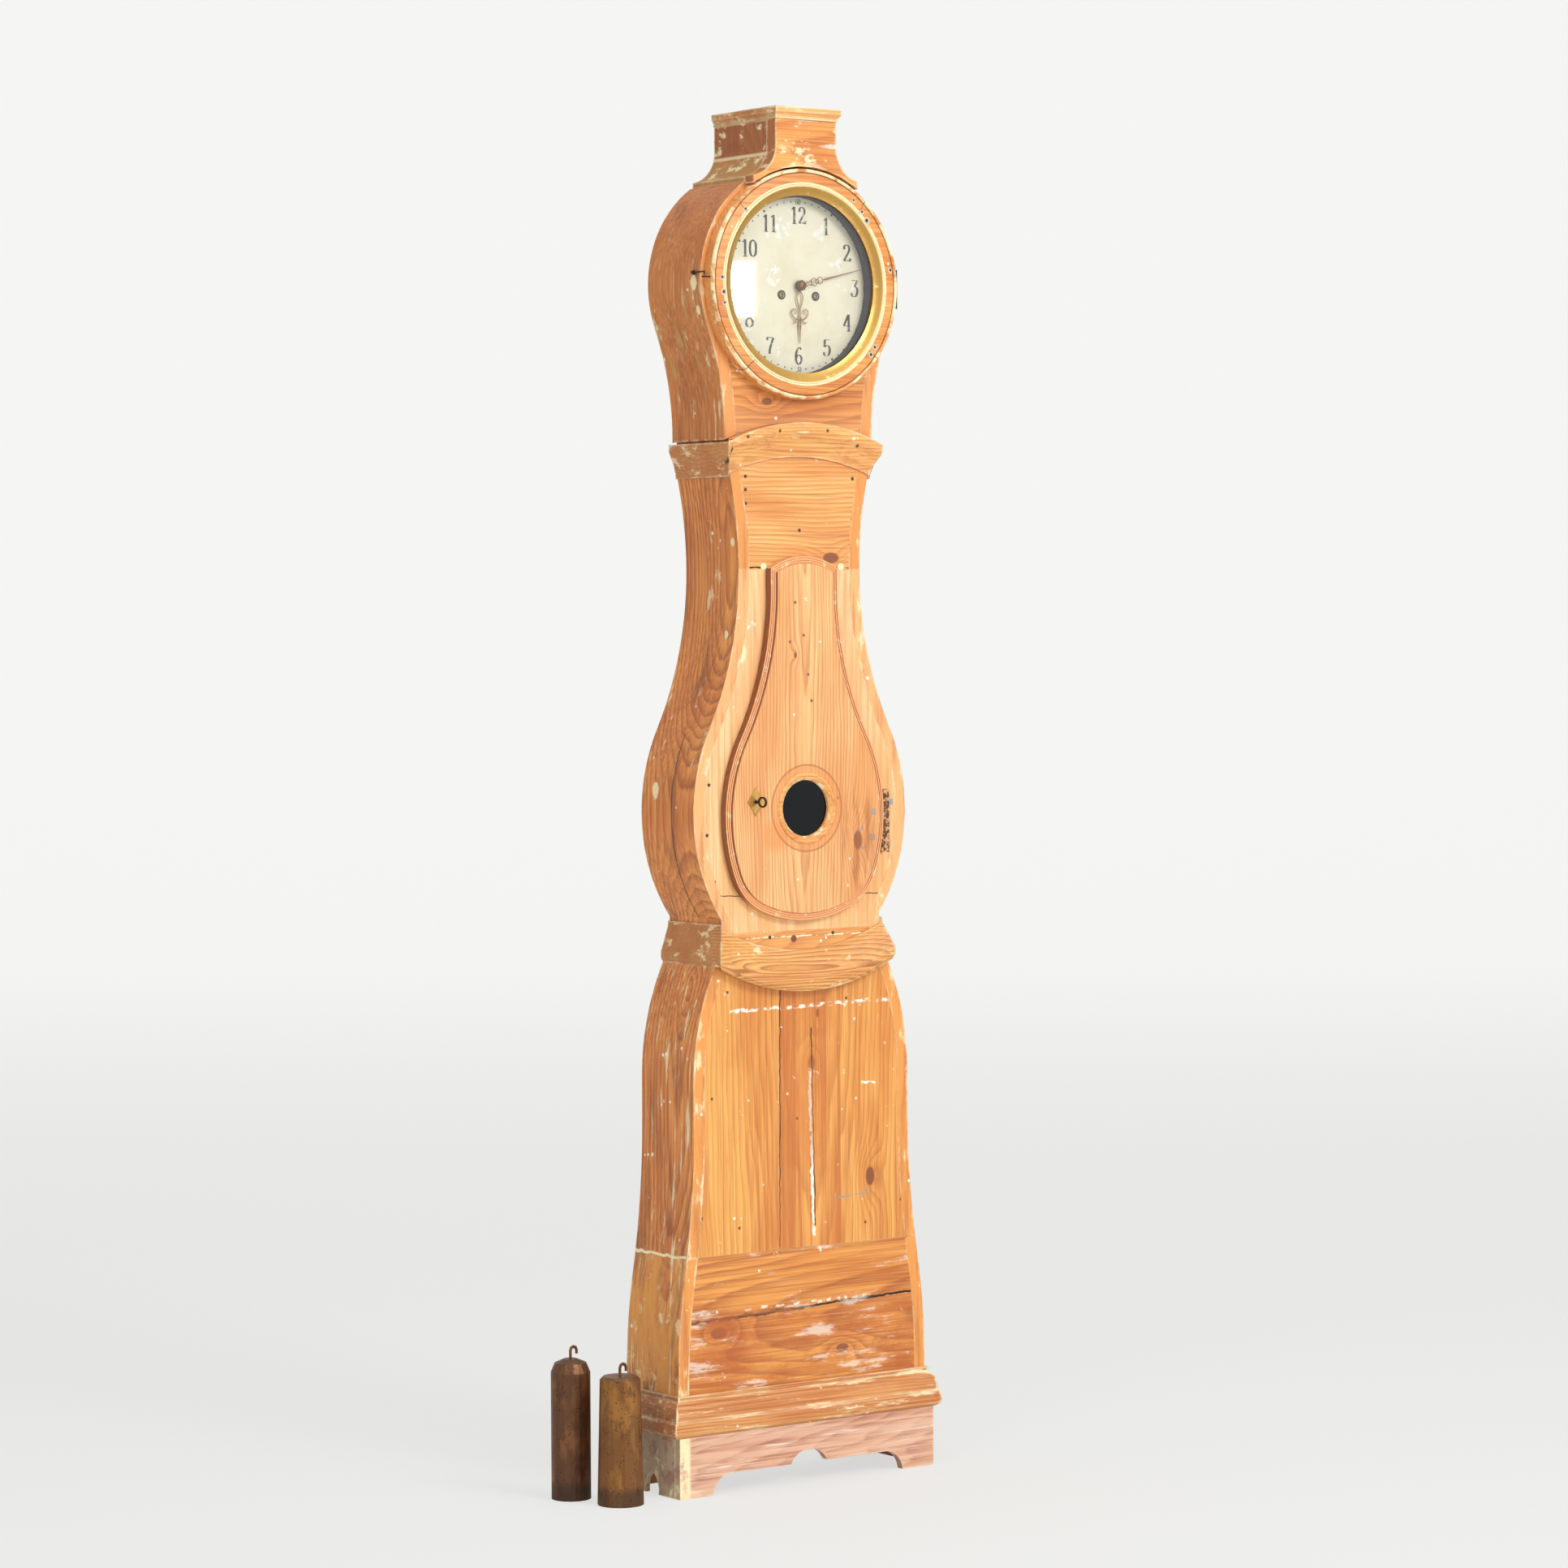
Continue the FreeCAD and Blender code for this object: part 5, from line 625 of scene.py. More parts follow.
def moulding(name, seed, cream, woods=HONEY, places=()):
    """A moulding with more or less cream paint left, and nails at the places."""
    net = pine(name, "x", (0.8, -0.1, 0.0), 0.02, 0.0055, woods, seed, lines=0.6)
    worn(net, CREAM, (11, 70, 80), 0.62 - cream * 0.1, 0.72 - cream * 0.1, seed + 2, 0.85, 0.16)
    stain(net, tone(168, 98, 56), (12, 22, 22), 0.55, 0.72, seed + 3, 0.55, 0.6)
    specks(net, CHALK, 0.12, 60, 0.7, seed + 5)
    nails(net, places, 0.002, tone(92, 60, 42))
    net.paint(net.edges(0.003) * (0.35 + 0.4 * cream), CREAM, 0.7)
    shaded_left(net, seed + 6)
    return net


# Mouldings
neck = moulding("neck_moulding", 41.0, 0.15, places=[(-0.05, 1.61), (0.04, 1.612), (0.1, 1.59), (-0.11, 1.6)])
mitre = neck.near(neck.x + 0.1385, 0.001, 0.0015) * neck.inside(neck.y, FRONT_Y, 0.004)
neck.paint(mitre * neck.patchy(90, 3.0, 40.0, 0.46, 0.52), tone(70, 60, 38), 0.8, -0.5)
dress(neck.finish(round_edges=0.002), "neck_mouldings")

waist = pine("waist_moulding", "x", (0.7968, -0.145, -0.0112), 0.0, 0.0046, WAIST_WOOD, 44.0,
             lines=1.0, streaks=0.2)
specks(waist, CHALK, 0.12, 60, 0.72, 45.0)
worn(waist, CREAM, (22, 40, 40), 0.6, 0.7, 46.0, 0.8, 0.1)
waist.paint(waist.edges(0.003) * 0.4, CREAM, 0.7)
shaded_left(waist, 47.0)
dress(waist.finish(round_edges=0.002), "waist_mouldings")

base = moulding("base_moulding", 48.0, 0.7, BASE_WOOD)
dress(base.finish(round_edges=0.002), "base_mouldings")

# Plinth, and the boards inside and behind
plinth = pine("plinth_wash", "x", (0.02, 0.05, 0.0), 0.05, 0.004, WASHED_WOOD, 51.0, lines=0.8)
worn(plinth, PINK, (3, 60, 130), 0.42, 0.58, 52.0, 0.6)
worn(plinth, CHALK, (5, 40, 90), 0.55, 0.68, 53.0, 0.6, 0.05)
left_corner = plinth.inside(plinth.x, -0.226, 0.006)
worn(plinth, CREAM, (40, 40, 30), 0.4, 0.5, 54.0, 0.95, lift=0.4, within=left_corner)
plinth.paint(plinth.inside(plinth.z, 0.004, 0.006) * 0.4, tone(226, 190, 150), 0.8)
plinth.paint(plinth.edges(0.003) * 0.35, CHALK)
# Painted shade on the plinth's faces that look left
plinth.paint(plinth.facing((-1, 0, 0)) * 0.6, tone(128, 88, 74), 0.6)
worn(plinth, CREAM, 22, 0.54, 0.62, 55.0, 0.8, 0.1, 0.75, 0.3, plinth.facing((-1, 0, 0)))
dress(plinth.finish(), "plinth_front", "plinth_sides")

hidden = pine("inside_boards", "z", (0.05, 0.06, 1.0), 0.02, 0.009, INSIDE_WOOD, 57.0,
              [(1.1, 0.1, 0.01), (0.5, -0.12, 0.012)], 0.5, 0.75)
stain(hidden, tone(150, 112, 72), (7, 7, 2), 0.5, 0.72, 58.0, 0.7, 0.8)
dress(hidden.finish(), "back_boards", "floor_board", "seat_cheeks", "seat_board")

# Hood and crown
hood = pine("pine_hood_front", "x", (1.6, -0.02, 0.0), 0.05, 0.006, HOOD_WOOD, 61.0,
            [(-0.06, 1.655, 0.006)], 0.8)
hood.paint(hood.smooth(hood.z, 1.66, 1.6) * 0.2, PALE[0])
specks(hood, CHALK, 0.12, 60, 0.72, 62.0)
hood.paint(hood.edges(0.003) * 0.6, PINK, 0.7)
# Painted shade inside the opening round the dial
hood.paint(hood.spot(HEAD.x, HEAD.z, 0.14), SOOT_AND_SHADE, 0.8)
dress(hood.finish(), "hood_front")

crown = pine("pine_crown_front", "x", (2.03, -0.05, 0.0), 0.05, 0.008, CROWN_WOOD, 64.0, lines=0.75)
worn(crown, CREAM, (22, 22, 34), 0.56, 0.64, 65.0, 0.8, 0.1)
worn(crown, CHALK, (9, 9, 50), 0.62, 0.7, 66.0, 0.6)
crown.paint(crown.edges(0.0025) * 0.5, CREAM, 0.7)
# Painted shade, stronger, on the crown's faces that look left
shaded_left(crown, 60.0, tone(146, 82, 42), 0.75)
dress(crown.finish(), "crown_front")

crown_side = pine("crown_sides", "side", (-0.06, -0.2, 2.0), 0.2, 0.007, RED, 67.0, lines=0.6)
under_seam = crown_side.inside(crown_side.z, 2.028, 0.004)
crown_side.paint((1.0 - under_seam) * 0.7, tone(126, 64, 28), 0.55)
worn(crown_side, tone(164, 122, 66), 9, 0.34, 0.46, 68.0, 0.8, 0.0, 0.6, 0.3, under_seam)
worn(crown_side, CREAM, (26, 20, 34), 0.54, 0.62, 69.0, 0.85, 0.2)
crown_side.paint(crown_side.near(crown_side.z - 2.03, 0.001, 0.003) * 0.7, CREAM, 0.7)
dress(crown_side.finish(), "crown_boards")
dress(moulding("cap_moulding", 71.0, 1.0).finish(), "cap")

# Ironwork, brass and the cast weights
iron = Net("dark_iron", tone(52, 44, 38), 0.55)
worn(iron, tone(96, 62, 40), 160, 0.5, 0.7, 75.0, 0.7, rough=0.8, lift=0.3)
iron.raise_by(iron.noise(400, 3.0) * 0.6)
dress(iron.finish(metal=0.6, round_edges=0.0004), "bezel_hinge_leaves", "bezel_hinge_straps", "hook_latch",
      "latch_staple", "latch_eye", "lock_case", "lock_bolt", "anchor", "pendulum_rod", "hammers", "key")

filled = Net("hinge_filled_over", tone(214, 150, 98), 0.6)
worn(filled, tone(44, 30, 22), 150, 0.44, 0.5, 106.0, 0.9, rough=0.8, lift=-0.5)
worn(filled, FILLER, 90, 0.58, 0.64, 109.0, 0.8, rough=0.8, lift=0.3)
dress(filled.finish(round_edges=0.0004), "door_hinge_leaves", "door_hinge_straps")

brass = Net("worn_brass", tone(196, 152, 84), 0.34)
stain(brass, tone(120, 84, 44), 90, 0.48, 0.7, 77.0, 0.75)
brass.raise_by(brass.noise(500, 2.0) * 0.3)
dress(brass.finish(metal=0.9, round_edges=0.0003), "hour_hand", "minute_hand", "escutcheon", "hour_wheel",
      "minute_wheel", "going_barrel", "strike_barrel", "pin_wheel", "third_wheel", "escape_wheel",
      "movement_frame", "centre_arbor", "pendulum_bob", "bells")


def weight(name, seed, colour, rubbed):
    """Cast brass with a dark patina, rubbed bright in places."""
    net = Net("patina_of_" + name, colour, 0.46)
    worn(net, rubbed, (40, 40, 16), 0.46, 0.62, seed, 0.7, rough=0.42, lift=0.1)
    worn(net, tone(62, 40, 28), (50, 50, 26), 0.52, 0.68, seed + 1, 0.6, rough=0.6, lift=-0.3)
    specks(net, SOOT_AND_SHADE, 0.18, 220, 0.6, seed + 2)
    # Darker towards the bottom, and a duller, greyer tone on faces that look up
    net.paint(net.inside(net.z, 0.018, 0.016) * 0.6, tone(46, 34, 28), 0.7)
    net.paint(net.facing((0, 0, 1), 0.3, 0.9) * 0.35, tone(78, 60, 48))
    dress(net.finish(metal=0.55), name)


weight("round_weight", 80.0, tone(92, 58, 34), tone(128, 84, 48))
weight("cone_weight", 180.0, tone(118, 76, 36), tone(160, 108, 48))

# Dial
NUMERAL_RING, NUMERAL_HEIGHT = 0.107, 0.027
MINUTE_RING, MINUTE_HEIGHT = 0.1275, 0.0085
RIM_SHADE_INNER, RIM_SHADE_OUTER = 0.1335, 0.135


def on_dial(radius, degrees):
    """X and Z of a place on the dial, clockwise from the top."""
    turn = math.radians(degrees)
    return MOVEMENT.x + radius * math.sin(turn), MOVEMENT.z + radius * math.cos(turn)


dial = Net("painted_dial", tone(238, 230, 208), 0.45)
stain(dial, tone(224, 212, 180), 14, 0.42, 0.68, 84.0, 0.6)
for chip_hour, chip_ring, chip_size in ((11.4, 0.09, 0.016), (11.7, 0.118, 0.009), (9.6, 0.05, 0.012),
                                        (2.1, 0.082, 0.011), (8.2, 0.088, 0.01)):
    chipped = dial.spot(*on_dial(chip_ring, 30 * chip_hour), chip_size, chip_size * 0.5)
    worn(dial, tone(248, 246, 240), 110, 0.53, 0.55, 83.0, 1.0, 0.0, 0.6, -0.5, chipped)
dial.paint(dial.patchy(26, 6.0, 85.0, 0.62, 0.635, 0.6), tone(246, 243, 234), 0.6, -0.6)
specks(dial, tone(120, 84, 60), 0.06, 90, 0.78, 86.0)
# Painted shade on the dial's rim, where the opening's wall shades it
dial.paint(dial.smooth(dial.far_from(MOVEMENT.x, MOVEMENT.z), RIM_SHADE_INNER, RIM_SHADE_OUTER), tone(44, 42, 36))
dress(dial.finish(0.4, 0.0), "dial")

ink = Net("dial_ink", tone(54, 50, 48), 0.5)
ink.paint(ink.patchy(120, 4.0, 87.0, 0.52, 0.66, 0.6) * 0.8, tone(196, 186, 164))

# Strokes of each digit, in a box 56 wide and 100 high
DIGITS = {
    "0": [[(28, 98), (45, 84), (50, 50), (45, 16), (28, 2), (11, 16), (6, 50), (11, 84), (28, 98)]],
    "1": [[(28, 1), (28, 99)], [(10, 84), (20, 90), (28, 98)], [(12, 1), (44, 1)]],
    "2": [[(12, 72), (10, 86), (20, 97), (34, 97), (46, 84), (44, 62), (28, 36), (8, 5)],
          [(8, 4), (30, 8), (50, 4), (54, 20)]],
    "3": [[(8, 97), (50, 97)], [(50, 97), (30, 60)],
          [(30, 60), (46, 52), (51, 30), (40, 6), (22, 1), (9, 10), (9, 22)]],
    "4": [[(40, 1), (40, 99)], [(38, 98), (4, 32)], [(3, 32), (56, 32)], [(26, 1), (54, 1)]],
    "5": [[(14, 96), (50, 96)], [(14, 96), (11, 54)],
          [(11, 54), (30, 62), (46, 54), (50, 32), (40, 6), (22, 1), (8, 10), (9, 22)]],
    "6": [[(46, 88), (34, 99), (18, 88), (8, 56), (9, 20), (27, 1), (45, 16), (48, 36), (34, 55), (18, 52),
           (10, 40)]],
    "7": [[(6, 80), (8, 96), (50, 96)], [(50, 96), (34, 58), (24, 28), (22, 1)]],
    "8": [[(28, 98), (43, 88), (43, 66), (28, 54), (13, 66), (13, 88), (28, 98)],
          [(28, 54), (49, 40), (49, 14), (28, 2), (7, 14), (7, 40), (28, 54)]],
    "9": [[(10, 12), (22, 1), (38, 12), (48, 44), (47, 80), (29, 99), (11, 84), (8, 64), (22, 45), (38, 48),
           (46, 60)]],
}


def numeral(text, place, height, y):
    """Digits with thick upright strokes and thin level ones."""
    unit = height / 104
    left = place[0] - len(text) * 60 * unit * 0.92 / 2
    parts = []
    for index, digit in enumerate(text):
        for line in DIGITS[digit]:
            points = [Vector((left + (index * 56 + x) * unit, place[1] + (z - 50) * unit)) for x, z in line]
            path = spline(points) if len(points) > 2 else points
            parts.append(strip(path, lambda t, ahead: unit * (4 + 12 * abs(ahead.y) ** 1.5), y, y + 0.00012))
    return parts


def dial_marks(y):
    """The hours, three of the minutes, and a short bar for each of the other minutes."""
    parts = []
    for hour in range(1, 13):
        parts += numeral(str(hour), on_dial(NUMERAL_RING, 30 * hour), NUMERAL_HEIGHT, y)
    for minute in (15, 30, 60):
        parts += numeral(str(minute), on_dial(MINUTE_RING, 6 * minute), MINUTE_HEIGHT, y)
    for minute in range(60):
        middle = Vector(on_dial(MINUTE_RING, 6 * minute))
        half = Vector((0.0011 if minute % 5 else 0.0017, 0))
        if minute not in (0, 15, 30):
            parts.append(strip([middle - half, middle + half], lambda t, ahead: 2 * half.x, y, y + 0.0001))
    return joined(*parts)


dial_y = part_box("dial")[0].y
piece("dial_marks", *dial_marks(dial_y + 0.0008), ink.finish(0.0, 0.0), "case", "painted_dial", 0)

# Hands, drawn upwards from their centre: points in mm, first and last width, closed, and drawn on both sides
HOUR_BARS = [
    ([(0, 8), (4.2, 13), (5.6, 19), (3.8, 27), (1.6, 33), (0, 37), (-1.6, 33), (-3.8, 27), (-5.6, 19),
      (-4.2, 13)], (2.0, 2.0), True, False),
    ([(0, 36), (0, 42), (0, 52)], (2.6, 3.0), False, False),
    ([(0, 53), (6, 52), (12.5, 48), (15.6, 42), (13, 36.5), (8, 37), (6.6, 41), (9.5, 43.5)], (2.4, 1.1),
     False, True),
    ([(0, 47), (3.5, 51), (6.5, 56), (11, 57.5), (12.5, 55)], (2.4, 0.9), False, True),
    ([(0, 50), (0, 56), (0, 62)], (2.0, 5.6), False, False),
    ([(0, 62), (0, 70), (0, 88)], (5.6, 0.9), False, False),
]
MINUTE_BARS = [
    ([(0, 7), (3, 11), (1.2, 15), (3.6, 18), (0, 20)], (2.2, 1.4), False, True),
    ([(0, 19), (4.8, 22), (5.4, 27), (0, 31), (-5.4, 27), (-4.8, 22)], (1.5, 1.5), True, False),
    ([(0, 31), (4.4, 34), (4.4, 39), (0, 42), (-4.4, 39), (-4.4, 34)], (1.4, 1.4), True, False),
    ([(0, 27), (3, 29), (2.5, 33), (0, 34)], (1.2, 1.0), False, True),
    ([(0, 42), (0, 46), (0, 49)], (1.6, 4.4), False, False),
    ([(0, 49), (0, 62), (0, 120)], (4.4, 0.8), False, False),
]
HAND_THICK = 0.0012
BOSS_RADIUS = 0.0078


def hand_shape(bars, y):
    parts = []
    for points, (first, last), closed, mirrored in bars:
        first, last = first / 1000, last / 1000
        for side in (1, -1) if mirrored else (1,):
            path = spline([Vector((x * side, z)) / 1000 for x, z in points], closed=closed)
            widths = lambda t, ahead: first + (last - first) * t
            parts.append(strip(path, widths, y, y + HAND_THICK, 8, closed))
    return joined(*parts)


def boss(bore, front, back):
    return lathe([(bore, front), (BOSS_RADIUS, front), (BOSS_RADIUS, back), (bore, back)], MOVEMENT, 40)


hand = Net("hand_brass", tone(166, 128, 86), 0.38)
stain(hand, tone(110, 78, 50), 160, 0.45, 0.65, 90.0, 0.8, 0.55)
hand_mat = hand.finish(metal=0.85, round_edges=0.0)

hour_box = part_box("hour_hand")
minute_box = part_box("minute_hand")
hour_y = hour_box[0].y
hour_bars = placed(hand_shape(HOUR_BARS, hour_y), 180, MOVEMENT)
hour_parts = joined(hour_bars, boss(0.003, hour_y, hour_box[1].y))
hour_hand = piece("hour_hand_scrolled", *hour_parts, hand_mat, "hour_pipe", "brass")
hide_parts("hour_hand")

minute_y = minute_box[0].y + 0.005
minute_bars = placed(hand_shape(MINUTE_BARS, minute_y), 76, MOVEMENT)
minute_parts = joined(minute_bars, boss(0.0022, minute_y, minute_y + HAND_THICK))
minute_hand = piece("minute_hand_scrolled", *minute_parts, hand_mat, "minute_shaft", "brass")
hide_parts("minute_hand")


def ribs(turn, ring):
    """Ten ribs round the knob, but not on its first and last ring."""
    return 1.0 - 0.14 * abs(math.sin(5 * turn)) ** 0.5 if 0 < ring < 5 else 1.0


knob = Net("ribbed_knob", tone(120, 78, 52), 0.4)
knob.raise_by(knob.noise(300, 2.0))
knob_mat = knob.finish(metal=0.5, round_edges=0.0)
knob_shape = [(0.0022, minute_y), (0.0085, minute_y), (0.0084, minute_y - 0.0018), (0.007, minute_y - 0.0036),
              (0.0042, minute_y - 0.0047), (0.0, minute_box[0].y)]
piece("hub_knob", *lathe(knob_shape, MOVEMENT, 80, False, ribs), knob_mat, "minute_shaft", "brass", 60.0)

bush = Net("dark_bush", tone(30, 30, 30), 0.35)
bush_mat = bush.finish(metal=0.7, round_edges=0.0)
bush_shape = [(0.0047, dial_y + 0.001), (0.0047, dial_y - 0.0002), (0.0056, dial_y - 0.0006),
              (0.007, dial_y - 0.0001), (0.007, dial_y + 0.001)]
for hand_side, off_x in (("left", -0.0323), ("right", 0.0323)):
    bush_mesh = lathe(bush_shape, MOVEMENT + Vector((off_x, 0, -0.015)), 48)
    piece("winding_bush_" + hand_side, *bush_mesh, bush_mat, "case", "dark_iron")

# Bezel door: turned ring, gilt cove and glass
ring_low, ring_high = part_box("bezel_ring")
bezel = pine("pine_bezel_ring", "x", (1.8, -0.05, 0.0), 0.05, 0.0062, RING_WOOD, 93.0, lines=0.6)
bezel_far = bezel.far_from(HEAD.x, HEAD.z)
outer_bead = bezel.smooth(bezel_far, 0.168, 0.1692) * bezel.inside(bezel.y, ring_low.y + 0.005, 0.001)
worn(bezel, CREAM, 30, 0.44, 0.56, 94.0, 0.9, lift=0.3, within=outer_bead)
worn(bezel, CREAM, 50, 0.58, 0.66, 97.0, 0.8, lift=0.3, within=bezel.smooth(bezel_far, 0.174, 0.1745))
worn(bezel, CREAM, 40, 0.3, 0.44, 95.0, 0.95, lift=0.3, within=bezel.inside(bezel_far, 0.1535, 0.0015))
bezel.paint(bezel.near(bezel_far - 0.1685, 0.0005, 0.0008) * 0.85, tone(120, 66, 34), 0.7)
cracks(bezel, 0.0008, tone(100, 56, 32), ((-0.104, 1.93), (-0.128, 1.958)), ((0.098, 1.938), (0.114, 1.966)),
       ((-0.09, 1.722), (-0.118, 1.698)), ((0.118, 1.738), (0.14, 1.722)))
filled_holes(bezel, [(-0.153, 1.816, 0.0035), (-0.156, 1.838, 0.0028), (-0.152, 1.8, 0.0024),
                     (-0.101, 1.7235, 0.0032), (-0.093, 1.716, 0.0026), (0.1316, 1.7417, 0.003),
                     (0.124, 1.73, 0.0032), (0.1623, 1.861, 0.003), (-0.112, 1.942, 0.0026),
                     (0.117, 1.935, 0.0042), (0.108, 1.948, 0.0026), (0.092, 1.965, 0.0022)])
specks(bezel, CHALK, 0.12, 70, 0.72, 96.0)
glass_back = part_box("bezel_glass")[1].y
ring_profile = section(ring_low.y, ring_high.y, 0.149, [
    (0.1752, 0.005), (0.1748, 0.003), (0.1738, 0.0008), (0.1725, 0.0), (0.1708, 0.0005), (0.1696, 0.0018),
    (0.169, 0.0034), (0.1682, 0.0026), (0.1672, 0.002), (0.154, 0.002), (0.1528, 0.0016),
    (0.1516, 0.0022), (0.1512, 0.0036)]) + [(0.151, glass_back), (0.149, glass_back)]
bezel_ring = piece("bezel_ring_turned", *lathe(ring_profile, HEAD, 200), bezel.finish(0.4, 0.0), "bezel",
                   "ring_wood", 35.0)
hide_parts("bezel_ring")

gilt = Net("old_gilt", tone(186, 146, 74), 0.3)
stain(gilt, tone(178, 134, 66), 26, 0.44, 0.64, 98.0, 0.8)
worn(gilt, tone(236, 220, 170), 60, 0.6, 0.7, 99.0, 0.6, rough=0.6, lift=0.2)
gilt.paint(gilt.smooth(gilt.far_from(HEAD.x, HEAD.z), 0.1475, 0.1485) * 0.8, CREAM, 0.6)
gilt_low, gilt_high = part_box("gilt_ring")
gilt_profile = section(gilt_low.y, gilt_high.y, 0.1348, [
    (0.151, 0.0), (0.1496, 0.0), (0.1488, 0.0012), (0.1478, 0.0008), (0.1466, 0.0014), (0.144, 0.0034),
    (0.1412, 0.0052), (0.1384, 0.0065), (0.1362, 0.0072), (0.1348, 0.0077)])
cove = piece("gilt_cove_ring", *lathe(gilt_profile, HEAD, 200), gilt.finish(0.3, 0.0, 0.65), "bezel",
             "old_gilt", 45.0)
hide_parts("gilt_ring")


def glass(name, tint, clear):
    """A thin pane with a plain reflection, that lets through light in the colour given as clear."""
    mat = bpy.data.materials.new(name)
    mat.use_nodes = True
    tree = mat.node_tree
    tree.nodes.clear()
    out = tree.nodes.new("ShaderNodeOutputMaterial")
    see = tree.nodes.new("ShaderNodeBsdfTransparent")
    shine = tree.nodes.new("ShaderNodeBsdfGlossy")
    both = tree.nodes.new("ShaderNodeMixShader")
    fresnel = tree.nodes.new("ShaderNodeFresnel")
    fresnel.inputs["IOR"].default_value = 1.45
    see.inputs["Color"].default_value = clear
    shine.inputs["Color"].default_value = tint
    shine.inputs["Roughness"].default_value = 0.02
    tree.links.new(fresnel.outputs[0], both.inputs[0])
    tree.links.new(see.outputs[0], both.inputs[1])
    tree.links.new(shine.outputs[0], both.inputs[2])
    tree.links.new(both.outputs[0], out.inputs["Surface"])
    return mat


dress(glass("window_glass", (1, 1, 1, 1), (0.98, 0.985, 0.975, 1)), "bezel_glass")
# Painted shade: the lens glass lets through little light, so the trunk's inside looks dark behind it
dress(glass("lens_glass", (0.8, 0.85, 0.9, 1), (0.06, 0.065, 0.075, 1)), "lens_glass")

# Trunk door: the panel's wood. The moulded band is seen by its depth behind the face
BAND_START, BAND_FULL = 0.0005, 0.0012
GROOVE_START, GROOVE_FULL = 0.003, 0.0036
BAND_END = 0.0044

door_low, door_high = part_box("door_panel")
door = pine("pine_door", "z", (-0.004, -0.122, 1.15), 0.02, 0.0052, ROSE, 101.0,
            [(0.9841, 0.0975, 0.009), (1.27, -0.02, 0.003)], 0.8, 0.5, 0.3)
squares(door, 0.0044, 0.45, [(0.128, 1.027), (0.126, 0.988)])
squares(door, 0.0026, 0.45, [(0.106, 1.002)])
squares(door, 0.0024, 0.45, [(0.107, 0.972)])
stain(door, tone(206, 130, 66), (8, 8, 3), 0.46, 0.72, 102.0, 0.5)
door.paint(door.spot(-0.0603, 0.9953, 0.012, 0.022) * 0.55, tone(214, 128, 54), 0.5)
knot_shade = door.spot(0.0975, 0.975, 0.02, 0.024, 0.35)
stain(door, tone(150, 80, 38), (60, 60, 5), 0.44, 0.58, 104.0, 0.7, 0.5, knot_shade)
specks(door, CHALK, 0.1, 60, 0.75, 103.0)
nails(door, [(-0.03, 1.29), (0.004, 1.24), (-0.02, 1.35), (0.01, 1.2), (0.06, 1.05), (-0.004, 1.3)],
      0.0018, tone(130, 84, 56))
lens_far = door.far_from(LENS.x, LENS.z)
door.paint(door.inside(lens_far, 0.0655, 0.0012) * 0.5, tone(212, 134, 72), 0.6)
door.paint(door.near(lens_far - 0.066, 0.0008, 0.0014) * 0.55, tone(150, 80, 38), 0.6, -0.4)
door.paint(door.edges(0.003) * 0.3, PALE[0])
seen_part = door.inside(door.y, door_low.y + BAND_END, 0.0004)
on_band = door.smooth(door.y, door_low.y + BAND_START, door_low.y + BAND_FULL) * seen_part
in_groove = door.smooth(door.y, door_low.y + GROOVE_START, door_low.y + GROOVE_FULL) * seen_part
door.paint(on_band * 0.8, tone(230, 158, 104), 0.5)
door.paint(in_groove * 0.7, tone(150, 78, 40), 0.6)
worn(door, CREAM, 60, 0.56, 0.66, 105.0, 0.7, lift=0.2, within=on_band)
# Painted shade on the door's faces that look left, such as its left edge
door.paint(door.facing((-1, 0, 0)) * 0.85, tone(112, 52, 26), 0.6)


def door_outline(edge_y):
    """The door's outline, anticlockwise from the front. Its left half comes from the CAD's outer wall."""
    mesh = nodes["door_panel"].data
    found = {}
    for polygon in mesh.polygons:
        corners = [mesh.vertices[i].co for i in polygon.vertices]
        depths = [corner.y for corner in corners]
        whole = abs(min(depths) - edge_y) < 1e-4 and max(depths) > door_high.y - 1e-4
        if whole and abs(polygon.normal.y) < 0.1:
            for corner in corners:
                if corner.x < 1e-5 and (corner - Vector((LENS.x, corner.y, LENS.z))).length > 0.062:
                    found[(round(corner.x, 4), round(corner.z, 4))] = Vector((corner.x, corner.z))
    left = sorted(found.values(), key=lambda p: math.atan2(p.x, p.y - LENS.z), reverse=True)
    return left + [Vector((-p.x, p.y)) for p in reversed(left) if p.x < -1e-4]


def inset(outline, by):
    """The outline moved inwards, with its corners kept."""
    moved = []
    for i, p in enumerate(outline):
        before, after = outline[i - 1], outline[(i + 1) % len(outline)]
        one, two = (p - before).normalized(), (after - p).normalized()
        normal = Vector((-one.y - two.y, one.x + two.x)).normalized()
        stretch = 1 / max(0.5, normal.dot(Vector((-one.y, one.x))))
        moved.append(p + normal * by * stretch)
    return moved


